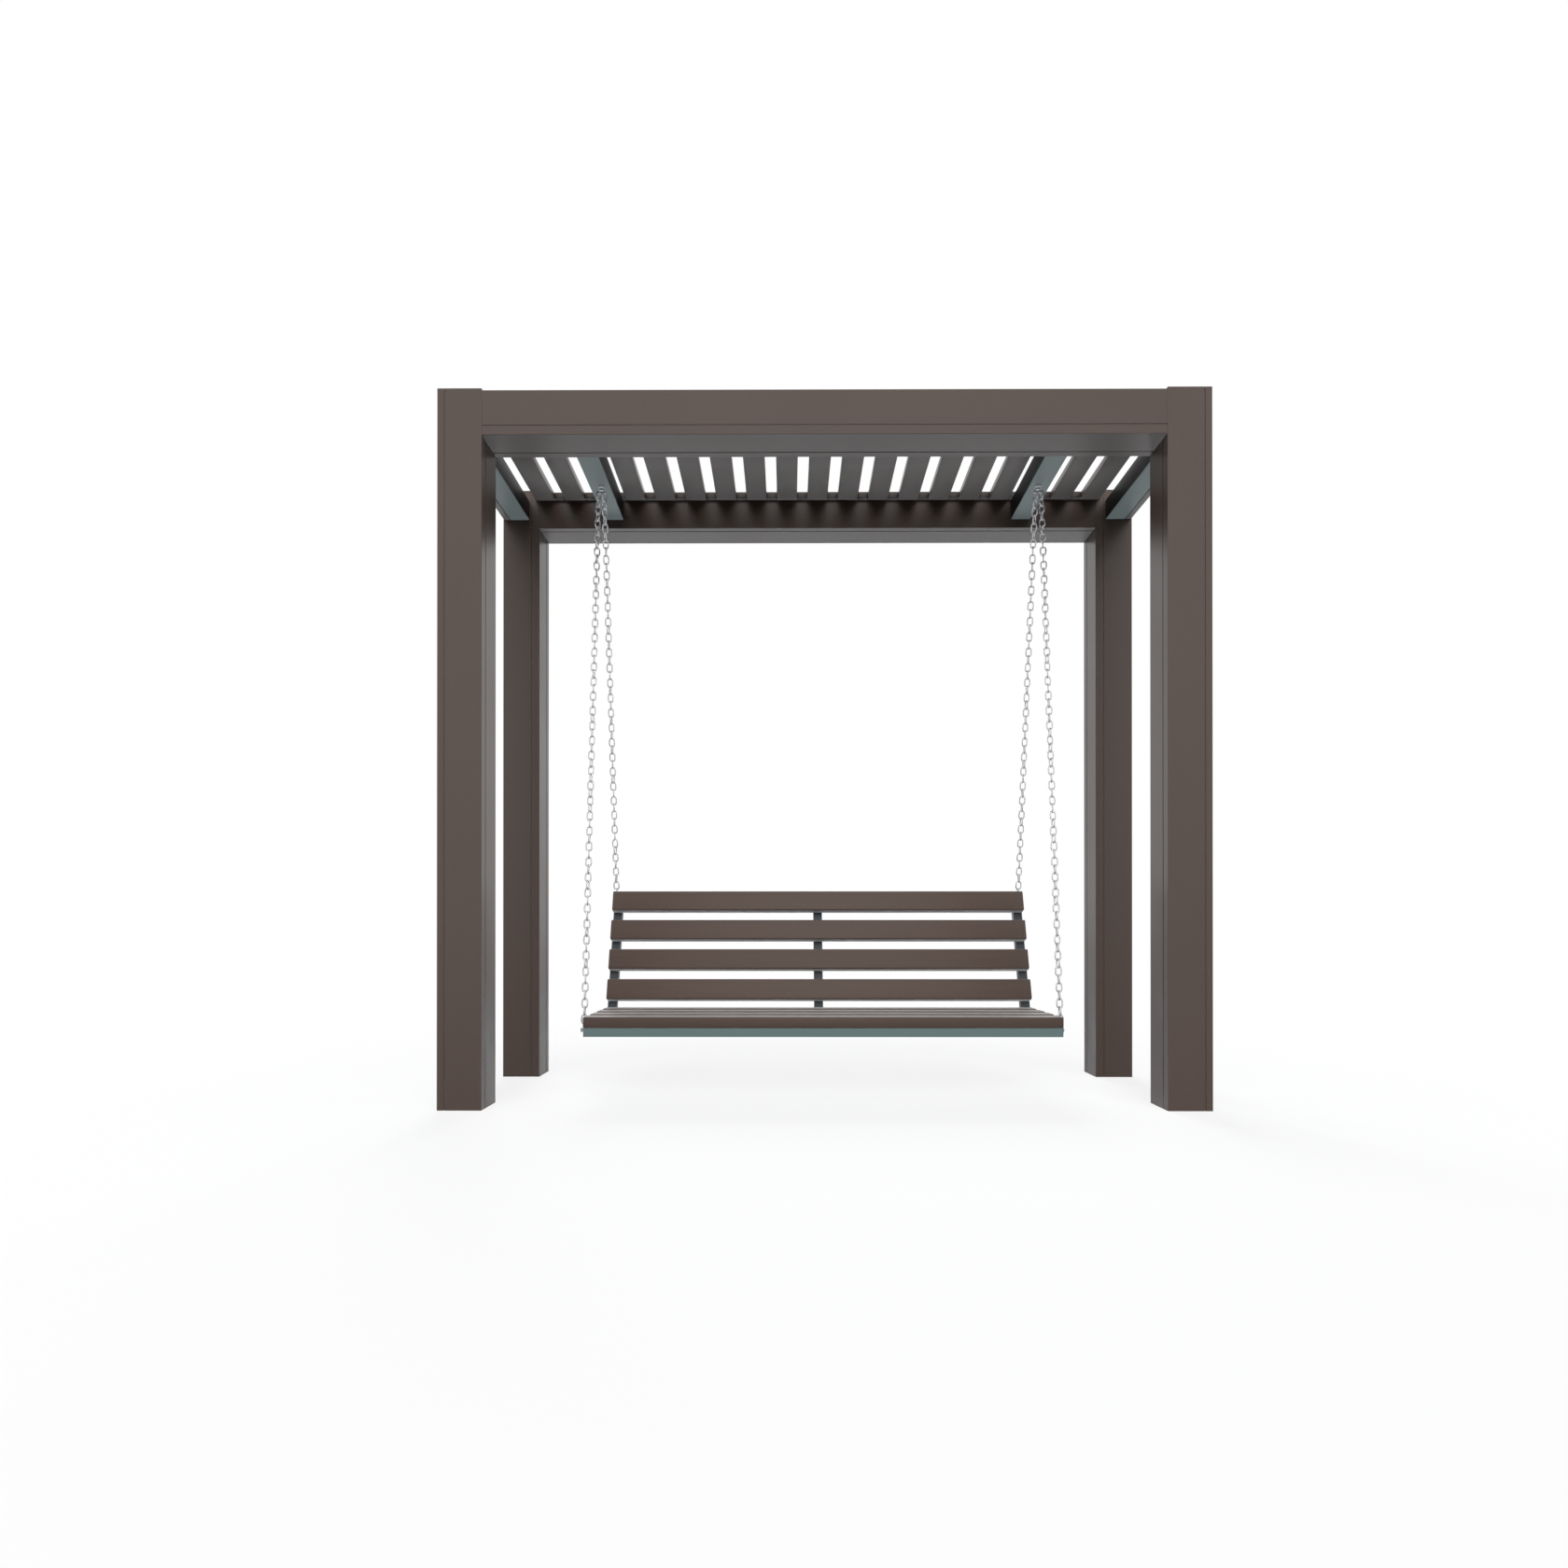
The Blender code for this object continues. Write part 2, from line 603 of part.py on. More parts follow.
def chain_core(pitch, count, way):
    # The links between the end ones, as one bar whose section turns with each link
    shoulder = LINK_WIDTH * LINK_SHOULDER_SHARE
    stations = [(pitch - LINK_WIRE / 2, shoulder, 1)]
    for number in range(1, count - 1):
        stations.append(((pitch + LINK_WIRE) / 2 + number * pitch, LINK_WIDTH, number % 2))
    stations.append(((count - 1) * pitch + LINK_WIRE * 3 / 2, shoulder, count % 2))
    sections = []
    for depth, width, edge_on in stations:
        size = (LINK_WIRE, width) if edge_on else (width, LINK_WIRE)
        spin = Matrix.Rotation(way * chain_turn(depth / (count * pitch + LINK_WIRE)), 2)
        sections.append(at_height([spin @ Vector(point) for point in rectangle(*size)], -depth))
    return loft(sections)


def build_chain(name, eye, end, odd_count, steel):
    # Hangs on the cross pin at eye. Its last wire's centre lies at the point end.
    start = eye - (end - eye).normalized() * PIN_TO_LINK
    run = end - start
    reach = run.length - LINK_WIRE
    count = odd_count + 2 * round((reach / LINK_PITCH - odd_count) / 2)
    pitch = reach / count
    lean = Vector((0, 0, -1)).rotation_difference(run).to_euler()
    way = -math.copysign(1, eye.x)
    chain = add_object(name, chain_core(pitch, count, way), steel, start, lean)
    first = end_link(0, -pitch - LINK_WIRE, True, way * chain_turn(0))
    last = end_link(-(count - 1) * pitch, -run.length, bool(odd_count), 0)
    ends = [add_object("end_link", link, steel, start, lean) for link in (first, last)]
    return combine(name, chain, ends, "UNION")


def build_chains(steel):
    bolt = Vector((0, SEAT_BOLT_Y, RAIL_MIDDLE))
    hole = rear_tab_root() + LEAN_BACK * REAR_TAB_REACH
    for side_name, side in (("left", -1), ("right", 1)):
        eye = Vector((side * (HANGER_X + CHAIN_SPREAD), 0, SWING_HEIGHT))
        bolt.x = side * FRONT_CHAIN_X
        away = (bolt - eye).normalized() * (BOLT_RADIUS + LINK_WIRE / 2 + FIT_GAP)
        yield build_chain(f"chain_front_{side_name}", eye, bolt + away, 0, steel)
        eye.x = side * (HANGER_X - CHAIN_SPREAD)
        hole.x = side * REAR_CHAIN_X
        up = (eye - hole).normalized() * (TAB_HOLE_RADIUS - LINK_WIRE / 2 - FIT_GAP)
        yield build_chain(f"chain_rear_{side_name}", eye, hole + up, 1, steel)


def build_bench(composite, grey, anthracite, steel):
    # Everything that swings hangs from one empty on the middle line of the cross pins.
    pivot = bpy.data.objects.new("swing_line", None)
    bpy.context.scene.collection.objects.link(pivot)
    pivot.location = (0, 0, SWING_HEIGHT)
    pieces = [*build_seat(composite), *build_back(composite), build_seat_frame(grey)]
    pieces += [*build_uprights(anthracite), *build_bolts(steel), *build_chains(steel)]
    for piece in pieces:
        piece.parent = pivot
        piece.matrix_parent_inverse = Matrix.Translation(-pivot.location)


def main():
    clear_scene()
    brown = make_material("brown_powder_coat", (0.107, 0.082, 0.067), 0.5, 0.0)
    composite = make_material("brown_composite", (0.102, 0.073, 0.060), 0.6, 0.0)
    grey = make_material("grey_green_powder_coat", (0.147, 0.195, 0.191), 0.5, 0.0)
    anthracite = make_material("anthracite_powder_coat", (0.037, 0.044, 0.050), 0.5, 0.0)
    steel = make_material("galvanised_steel", (0.60, 0.60, 0.61), 0.35, 1.0)
    build_posts(brown, steel)
    build_beams(brown)
    build_tubes(grey)
    build_side_boards(brown)
    build_roof(brown)
    build_hangers(steel)
    build_bench(composite, grey, anthracite, steel)


main()
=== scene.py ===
import math

import bmesh
import bpy
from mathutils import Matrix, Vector


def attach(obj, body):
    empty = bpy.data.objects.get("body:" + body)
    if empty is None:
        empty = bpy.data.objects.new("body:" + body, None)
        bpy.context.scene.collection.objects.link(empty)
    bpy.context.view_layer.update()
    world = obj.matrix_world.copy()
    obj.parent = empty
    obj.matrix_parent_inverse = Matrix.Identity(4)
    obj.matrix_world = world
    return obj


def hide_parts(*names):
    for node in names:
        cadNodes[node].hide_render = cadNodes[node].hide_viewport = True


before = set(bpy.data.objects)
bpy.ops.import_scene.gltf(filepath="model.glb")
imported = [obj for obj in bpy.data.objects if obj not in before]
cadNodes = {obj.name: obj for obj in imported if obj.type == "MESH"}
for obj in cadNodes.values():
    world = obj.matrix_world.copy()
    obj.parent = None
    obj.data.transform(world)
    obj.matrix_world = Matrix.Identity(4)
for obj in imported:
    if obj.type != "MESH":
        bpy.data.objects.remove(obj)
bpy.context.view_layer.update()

# Pergola with a slatted bench that swings in it on four chains.
# Metres, +Z up, +X along the bench, and a person on the bench looks along -Y.

scene = bpy.context.scene
bothSides = ((-1, "Left"), (1, "Right"))   # the sign of X, and the side's name


def linearFromHex(code):
    # sRGB hex, as a paint chart gives it, to the linear values that a shader wants
    parts = [int(code[i:i + 2], 16) / 255 for i in (1, 3, 5)]
    linear = [p / 12.92 if p <= 0.04045 else ((p + 0.055) / 1.055) ** 2.4 for p in parts]
    return (*linear, 1.0)


def addNode(tree, kind, inputs=None, **settings):
    # inputs: socket name or number -> a value, or the output socket to link from
    made = tree.nodes.new(kind)
    for name, value in settings.items():
        setattr(made, name, value)
    for name, value in (inputs or {}).items():
        if isinstance(value, bpy.types.NodeSocket):
            tree.links.new(value, made.inputs[name])
        else:
            made.inputs[name].default_value = value
    return made


def newMaterial(name):
    made = bpy.data.materials.new(name)
    made.use_nodes = True
    made.node_tree.nodes.clear()
    return made, made.node_tree


powderCoat = {
    "orangePeel": 0.0022,   # spacing of the coat's orange peel in metres, coarse enough to show
    "peelDepth": 0.00004,
    "cloud": 0.45,          # size of the soft tone changes from part to part
    "speck": 0.012,         # size of the flecks in it, and the most that they lighten the coat
    "speckShare": 0.10,
    "roughSpread": (-0.03, 0.04),   # how far the roughness drifts either way
    "shadeBlend": 0.0008,        # height over which the coat passes into the painted shade above it
}


def buildPowderCoat(name, colour, deepColour, paleColour, roughness, paintedShadeAbove=None):
    # Polyester powder coat on an aluminium extrusion: an even satin film with orange peel,
    # faint paler flecks, and a slow change of tone from part to part.
    # the last argument, if given: the height from which the coat gives way to painted shade, and
    # the colour of that shade
    material, tree = newMaterial(name)
    place = addNode(tree, "ShaderNodeTexCoord").outputs["Object"]
    cloud = addNode(tree, "ShaderNodeTexNoise",
                    {"Vector": place, "Scale": 1 / powderCoat["cloud"], "Detail": 2.0,
                     "Roughness": 0.4})
    speck = addNode(tree, "ShaderNodeTexNoise",
                    {"Vector": place, "Scale": 1 / powderCoat["speck"], "Detail": 3.0,
                     "Roughness": 0.6})
    tone = addNode(tree, "ShaderNodeMix",
                   {0: cloud.outputs["Fac"], 6: linearFromHex(deepColour),
                    7: linearFromHex(colour)},
                   data_type="RGBA")
    grain = addNode(tree, "ShaderNodeMapRange",
                    {"Value": speck.outputs["Fac"], "From Min": 0.35, "From Max": 0.75,
                     "To Min": 0.0, "To Max": powderCoat["speckShare"]})
    colourOut = addNode(tree, "ShaderNodeMix",
                        {0: grain.outputs["Result"], 6: tone.outputs[2],
                         7: linearFromHex(paleColour)},
                        data_type="RGBA")
    # painted shade: above the given height the colour turns to the shade's near black, over a short
    # blend
    if paintedShadeAbove:
        height = addNode(tree, "ShaderNodeSeparateXYZ", {"Vector": place}).outputs["Z"]
        above = addNode(tree, "ShaderNodeMapRange",
                        {"Value": height, "From Min": paintedShadeAbove["from"],
                         "From Max": paintedShadeAbove["from"] + powderCoat["shadeBlend"]})
        colourOut = addNode(tree, "ShaderNodeMix",
                            {0: above.outputs["Result"], 6: colourOut.outputs[2],
                             7: linearFromHex(paintedShadeAbove["colour"])},
                            data_type="RGBA")
    low, high = powderCoat["roughSpread"]
    gloss = addNode(tree, "ShaderNodeMapRange",
                    {"Value": cloud.outputs["Fac"], "From Min": 0.3, "From Max": 0.7,
                     "To Min": roughness + low, "To Max": roughness + high})
    peel = addNode(tree, "ShaderNodeTexNoise",
                   {"Vector": place, "Scale": 1 / powderCoat["orangePeel"], "Detail": 1.0})
    bump = addNode(tree, "ShaderNodeBump",
                   {"Height": peel.outputs["Fac"], "Distance": powderCoat["peelDepth"],
                    "Strength": 0.5})
    shader = addNode(tree, "ShaderNodeBsdfPrincipled",
                     {"Base Color": colourOut.outputs[2], "Roughness": gloss.outputs["Result"],
                      "Normal": bump.outputs["Normal"], "IOR": 1.5, "Specular IOR Level": 0.5})
    addNode(tree, "ShaderNodeOutputMaterial", {"Surface": shader.outputs["BSDF"]})
    return material


boardLook = {
    "streakLength": 0.30,    # metres along the board
    "streakWidth": 0.0060,   # brush lines across it, coarser than real so that they show
    "streakDepth": 0.00012,
    "toneShare": 0.35,       # how much paler the palest board of a row may be
    "roughness": (0.36, 0.50),
}


def buildBoardMaterial(name, colour, deepColour, paleColour):
    # Co-extruded wood-plastic composite, brushed along its length: a matte brown with fine
    # streaks of darker wood flour, which catch the light a little across the grain.
    material, tree = newMaterial(name)
    place = addNode(tree, "ShaderNodeTexCoord").outputs["Object"]
    tone = addNode(tree, "ShaderNodeAttribute", attribute_name="boardTone")
    shifted = addNode(tree, "ShaderNodeVectorMath", {0: place, 1: tone.outputs["Vector"]},
                      operation="ADD")
    stretched = addNode(tree, "ShaderNodeMapping",
                        {"Vector": shifted.outputs["Vector"],
                         "Scale": (1 / boardLook["streakLength"], 1 / boardLook["streakWidth"],
                                   1 / boardLook["streakWidth"])})
    streak = addNode(tree, "ShaderNodeTexNoise",
                     {"Vector": stretched.outputs["Vector"], "Scale": 1.0, "Detail": 3.0,
                      "Roughness": 0.55})
    base = addNode(tree, "ShaderNodeMix",
                   {0: streak.outputs["Fac"], 6: linearFromHex(deepColour),
                    7: linearFromHex(colour)},
                   data_type="RGBA")
    lift = addNode(tree, "ShaderNodeMath", {0: tone.outputs["Fac"], 1: boardLook["toneShare"]},
                   operation="MULTIPLY")
    colourOut = addNode(tree, "ShaderNodeMix",
                        {0: lift.outputs[0], 6: base.outputs[2], 7: linearFromHex(paleColour)},
                        data_type="RGBA")
    smoothest, roughest = boardLook["roughness"]
    rough = addNode(tree, "ShaderNodeMapRange",
                    {"Value": streak.outputs["Fac"], "To Min": smoothest, "To Max": roughest})
    bump = addNode(tree, "ShaderNodeBump",
                   {"Height": streak.outputs["Fac"], "Distance": boardLook["streakDepth"],
                    "Strength": 0.6})
    shader = addNode(tree, "ShaderNodeBsdfPrincipled",
                     {"Base Color": colourOut.outputs[2], "Roughness": rough.outputs["Result"],
                      "Normal": bump.outputs["Normal"], "IOR": 1.5, "Sheen Weight": 0.5,
                      "Sheen Roughness": 0.4, "Sheen Tint": (1, 1, 1, 1)})
    addNode(tree, "ShaderNodeOutputMaterial", {"Surface": shader.outputs["BSDF"]})
    return material


zincLook = {"roughSpread": (-0.06, 0.08)}   # how far one crystal's roughness is from the next


def buildZinc(name, colour, deepColour, roughness, spangle):
    # Zinc on steel. Hot dip shows spangle, a patchwork of crystals with slightly different
    # gloss; electroplate is finer and more even.
    material, tree = newMaterial(name)
    place = addNode(tree, "ShaderNodeTexCoord").outputs["Object"]
    crystals = addNode(tree, "ShaderNodeTexVoronoi", {"Vector": place, "Scale": 1 / spangle})
    pick = addNode(tree, "ShaderNodeSeparateColor", {"Color": crystals.outputs["Color"]})
    colourOut = addNode(tree, "ShaderNodeMix",
                        {0: pick.outputs[0], 6: linearFromHex(colour),
                         7: linearFromHex(deepColour)},
                        data_type="RGBA")
    low, high = zincLook["roughSpread"]
    rough = addNode(tree, "ShaderNodeMapRange",
                    {"Value": pick.outputs[1], "To Min": roughness + low,
                     "To Max": roughness + high})
    shader = addNode(tree, "ShaderNodeBsdfPrincipled",
                     {"Base Color": colourOut.outputs[2], "Roughness": rough.outputs["Result"],
                      "Metallic": 1.0})
    addNode(tree, "ShaderNodeOutputMaterial", {"Surface": shader.outputs["BSDF"]})
    return material


brownCoat = buildPowderCoat("brownPolyesterPowderCoat", "#54463F", "#4F413A", "#60534C", 0.32)
slateCoat = buildPowderCoat("slateGreenPowderCoat", "#697A7A", "#637373", "#778887", 0.36)
anthraciteCoat = buildPowderCoat("anthracitePowderCoat", "#363B3F", "#303539", "#454B4F", 0.34)
# the roof's tubes: the slate green coat painted paler underneath as light from the floor below, and
# from just above the underside painted near black as shade on the sides and top
tubePaintedShade = {"from": 2.3068, "colour": "#1C2023"}
tubeCoatPaintedLightAndShade = buildPowderCoat("tubeSlatePaintedLightAndShade", "#879FA0", "#7E9596", "#94A9AA", 0.36, tubePaintedShade)
# the snap-in fillers are darker than the beams that they sit in
fillerCoat = buildPowderCoat("deepBrownPowderCoat", "#38322E", "#342E2A", "#443E3A", 0.38)
brownBoard = buildBoardMaterial("brownWoodPlasticBoard", "#4F3E34", "#40312A", "#5B4A44")
chainZinc = buildZinc("zincPlatedChain", "#F2F2F6", "#E0E0E5", 0.32, 0.004)
boltZinc = buildZinc("zincPlatedBolt", "#BFC1C2", "#A8AAAC", 0.28, 0.003)
hangerZinc = buildZinc("zincPlatedForging", "#DCDEE0", "#C8CBCD", 0.32, 0.005)
shoeZinc = buildZinc("hotDipGalvanisedShoe", "#A9ACAE", "#8D9194", 0.42, 0.012)
print("materials done")


finishOf = {
    "post_": brownCoat, "front_beam": brownCoat, "rear_beam": brownCoat, "side_board_": brownCoat,
    "side_tube_": tubeCoatPaintedLightAndShade, "cross_tube_": tubeCoatPaintedLightAndShade,
    "seat_frame": slateCoat, "back_upright_": anthraciteCoat, "ground_shoe_": shoeZinc,
}


def finishCadNodes():
    for nodeName, piece in cadNodes.items():
        for start, material in finishOf.items():
            if nodeName.startswith(start):
                piece.data.materials.clear()
                piece.data.materials.append(material)


finishCadNodes()
print("frame pieces finished")


def newTree(name, sockets):
    # sockets: (name, type, default); the type is the last word of the socket's class
    tree = bpy.data.node_groups.new(name, "GeometryNodeTree")
    tree.interface.new_socket("Geometry", in_out="INPUT", socket_type="NodeSocketGeometry")
    for label, kind, default in sockets:
        made = tree.interface.new_socket(label, in_out="INPUT", socket_type="NodeSocket" + kind)
        if default is not None:
            made.default_value = default
    tree.interface.new_socket("Geometry", in_out="OUTPUT", socket_type="NodeSocketGeometry")
    return tree, addNode(tree, "NodeGroupInput").outputs


def closeTree(tree, geometry, material):
    solid = addNode(tree, "GeometryNodeRealizeInstances", {"Geometry": geometry})
    painted = addNode(tree, "GeometryNodeSetMaterial",
                      {"Geometry": solid.outputs["Geometry"], "Material": material})
    addNode(tree, "NodeGroupOutput", {"Geometry": painted.outputs["Geometry"]})


def growPiece(name, tree, values, body, replaced=(), startPoints=()):
    # Runs a tree on an object at the origin, keeps the mesh and drops the modifier.
    mesh = bpy.data.meshes.new(name)
    mesh.from_pydata([tuple(p) for p in startPoints], [], [])
    piece = bpy.data.objects.new(name, mesh)
    scene.collection.objects.link(piece)
    modifier = piece.modifiers.new(name, "NODES")
    modifier.node_group = tree
    for socket in tree.interface.items_tree:
        if socket.in_out == "INPUT" and socket.name in values:
            modifier[socket.identifier] = values[socket.name]
    bpy.context.view_layer.update()
    evaluated = piece.evaluated_get(bpy.context.evaluated_depsgraph_get())
    grown = bpy.data.meshes.new_from_object(evaluated)
    piece.modifiers.clear()
    piece.data = grown
    grown.name = name
    if replaced:
        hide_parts(*replaced)
    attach(piece, body)


def buildBoardTree():
    # A row of boards. Each is a rounded section swept along X, with its ends eased.
    tree, given = newTree("boardRow", [
        ("Count", "Int", 4), ("First", "Vector", None), ("Step", "Vector", None),
        ("Turn", "Vector", None), ("Length", "Float", 1.0), ("Width", "Float", 0.08),
        ("Thickness", "Float", 0.03), ("Corner", "Float", 0.004), ("Ease", "Float", 0.002),
        ("Seed", "Int", 1), ("Material", "Material", None),
    ])
    box = addNode(tree, "GeometryNodeCurvePrimitiveQuadrilateral",
                  {"Width": given["Width"], "Height": given["Thickness"]})
    section = addNode(tree, "GeometryNodeFilletCurve",
                      {"Curve": box.outputs["Curve"], "Radius": given["Corner"], "Count": 4},
                      mode="POLY")
    half = addNode(tree, "ShaderNodeMath", {0: given["Length"], 1: 0.5},
                   operation="MULTIPLY").outputs[0]
    minus = addNode(tree, "ShaderNodeMath", {0: given["Length"], 1: -0.5},
                    operation="MULTIPLY").outputs[0]
    start = addNode(tree, "ShaderNodeCombineXYZ", {"X": minus}).outputs["Vector"]
    end = addNode(tree, "ShaderNodeCombineXYZ", {"X": half}).outputs["Vector"]
    line = addNode(tree, "GeometryNodeCurvePrimitiveLine", {"Start": start, "End": end})
    # stations: the two ends, and one just inside each
    stationCount = 4
    stations = addNode(tree, "GeometryNodeResampleCurve",
                       {"Curve": line.outputs["Curve"], "Count": stationCount})
    index = addNode(tree, "GeometryNodeInputIndex").outputs["Index"]
    fromMiddle = addNode(tree, "ShaderNodeMath", {0: index, 1: (stationCount - 1) / 2},
                         operation="SUBTRACT").outputs[0]
    side = addNode(tree, "ShaderNodeMath", {0: fromMiddle}, operation="SIGN").outputs[0]
    away = addNode(tree, "ShaderNodeMath", {0: fromMiddle}, operation="ABSOLUTE").outputs[0]
    isInner = addNode(tree, "ShaderNodeMath", {0: away, 1: 1.0}, operation="LESS_THAN").outputs[0]
    setIn = addNode(tree, "ShaderNodeMath", {0: isInner, 1: given["Ease"]},
                    operation="MULTIPLY").outputs[0]
    reach = addNode(tree, "ShaderNodeMath", {0: half, 1: setIn}, operation="SUBTRACT").outputs[0]
    x = addNode(tree, "ShaderNodeMath", {0: reach, 1: side}, operation="MULTIPLY").outputs[0]
    spot = addNode(tree, "ShaderNodeCombineXYZ", {"X": x}).outputs["Vector"]
    placed = addNode(tree, "GeometryNodeSetPosition",
                     {"Geometry": stations.outputs["Curve"], "Position": spot})
    # the ends are smaller by the ease all round
    less = addNode(tree, "ShaderNodeMath", {0: given["Ease"], 1: given["Thickness"]},
                   operation="DIVIDE").outputs[0]
    scaleEnd = addNode(tree, "ShaderNodeMath", {0: 1.0, 1: less}, operation="SUBTRACT").outputs[0]
    size = addNode(tree, "GeometryNodeSwitch", {0: isInner, 1: scaleEnd, 2: 1.0},
                   input_type="FLOAT")
    swept = addNode(tree, "GeometryNodeSetCurveRadius",
                    {"Curve": placed.outputs["Geometry"], "Radius": size.outputs[0]})
    radius = addNode(tree, "GeometryNodeInputRadius").outputs["Radius"]
    board = addNode(tree, "GeometryNodeCurveToMesh",
                    {"Curve": swept.outputs["Curve"], "Profile Curve": section.outputs["Curve"],
                     "Scale": radius, "Fill Caps": True})
    row = addNode(tree, "GeometryNodeMeshLine",
                  {"Count": given["Count"], "Start Location": given["First"],
                   "Offset": given["Step"]},
                  mode="OFFSET")
    boards = addNode(tree, "GeometryNodeInstanceOnPoints",
                     {"Points": row.outputs["Mesh"], "Instance": board.outputs["Mesh"],
                      "Rotation": given["Turn"]})
    tone = addNode(tree, "FunctionNodeRandomValue", {"Seed": given["Seed"], "ID": index},
                   data_type="FLOAT")
    toned = addNode(tree, "GeometryNodeStoreNamedAttribute",
                    {"Geometry": boards.outputs["Instances"], "Name": "boardTone",
                     "Value": tone.outputs[1]},
                    data_type="FLOAT", domain="INSTANCE")
    closeTree(tree, toned.outputs["Geometry"], given["Material"])
    return tree


boardTree = buildBoardTree()

roofSlats = {"Count": 19, "First": (-1.125, 0, 2.3978), "Step": (0.125, 0, 0),
             "Turn": (0, 0, math.pi / 2), "Length": 0.5694, "Width": 0.082, "Thickness": 0.025,
             "Corner": 0.0025, "Ease": 0.0005, "Seed": 3, "Material": brownCoat}
# snap-in pieces that close the slat channel of each beam between two slats, flush with their
# undersides; First is for the rear beam
slatFillers = {"Count": 18, "First": (-1.0625, 0.2745, 2.3955), "Step": (0.125, 0, 0),
               "Turn": (0, 0, 0), "Length": 0.0424, "Width": 0.020, "Thickness": 0.0203,
               "Corner": 0.0008, "Ease": 0.0002, "Seed": 7, "Material": fillerCoat}
seatSlats = {"Count": 4, "First": (0, -0.293, 0.285), "Step": (0, 0.115, 0), "Turn": (0, 0, 0),
             "Length": 1.664, "Width": 0.082, "Thickness": 0.038, "Corner": 0.005, "Ease": 0.002,
             "Seed": 5, "Material": brownBoard}
# foot: the lower front edge of the lowest back slat, in the middle
backSlats = {"foot": (0, 0.0775, 0.337), "lean": math.radians(18.7), "pitch": 0.1235,
             "Count": 4, "Length": 1.664, "Width": 0.082, "Thickness": 0.038, "Corner": 0.005,
             "Ease": 0.002, "Seed": 11, "Material": brownBoard}


def backDirections():
    # up along the back's slats, and through them to the rear
    lean = backSlats["lean"]
    return Vector((0, math.sin(lean), math.cos(lean))), Vector((0, math.cos(lean), -math.sin(lean)))


def buildBoards():
    growPiece("roofSlats", boardTree, roofSlats, "pergola",
              [f"roof_slat_{n:02d}" for n in range(1, roofSlats["Count"] + 1)])
    x, y, z = slatFillers["First"]
    for beamName, way in (("Front", -1), ("Rear", 1)):
        values = dict(slatFillers, First=(x, way * y, z))
        growPiece("slatFillers" + beamName, boardTree, values, "pergola")
    growPiece("seatSlats", boardTree, seatSlats, "swing_bench",
              [f"seat_slat_{n}" for n in range(1, seatSlats["Count"] + 1)])
    up, back = backDirections()
    first = Vector(backSlats["foot"]) + up * backSlats["Width"] / 2
    first += back * backSlats["Thickness"] / 2
    values = dict(backSlats, First=first, Step=up * backSlats["pitch"],
                  Turn=(math.pi / 2 - backSlats["lean"], 0, 0))
    growPiece("backSlats", boardTree, values, "swing_bench",
              [f"back_slat_{n}" for n in range(1, backSlats["Count"] + 1)])


buildBoards()
print("boards done")


chain = {
    "wire": 0.00275,       # radius of the link's wire
    "width": 0.025,        # outer width of a link
    "pitch": 0.0284,       # from link to link, evened out to fit
    "pin": (0, 2.2797), "pinRadius": 0.003,   # y and z of the swing line, on the cross pins
    "frontTop": 0.8464, "rearTop": 0.8252,    # x of each chain on its pin
    "frontFoot": 0.846, "rearFoot": 0.829,    # and at the bench
    "bolt": (-0.249, 0.2507), "boltRadius": 0.004,         # y and z of the bolts and of the
    "earHole": (0.2909, 0.7140), "earHoleRadius": 0.006,   # holes that hold the last links
    "turn": math.radians(56), "turnDecay": 8.0,   # links are turned at the top, and it dies out
    "twist": 0.30,         # radians that a link may turn off that
    "loosen": 8.0,         # how soon, from each end, a link is free to twist
    "slip": 0.0003,        # gap between a link and what it hangs on
}


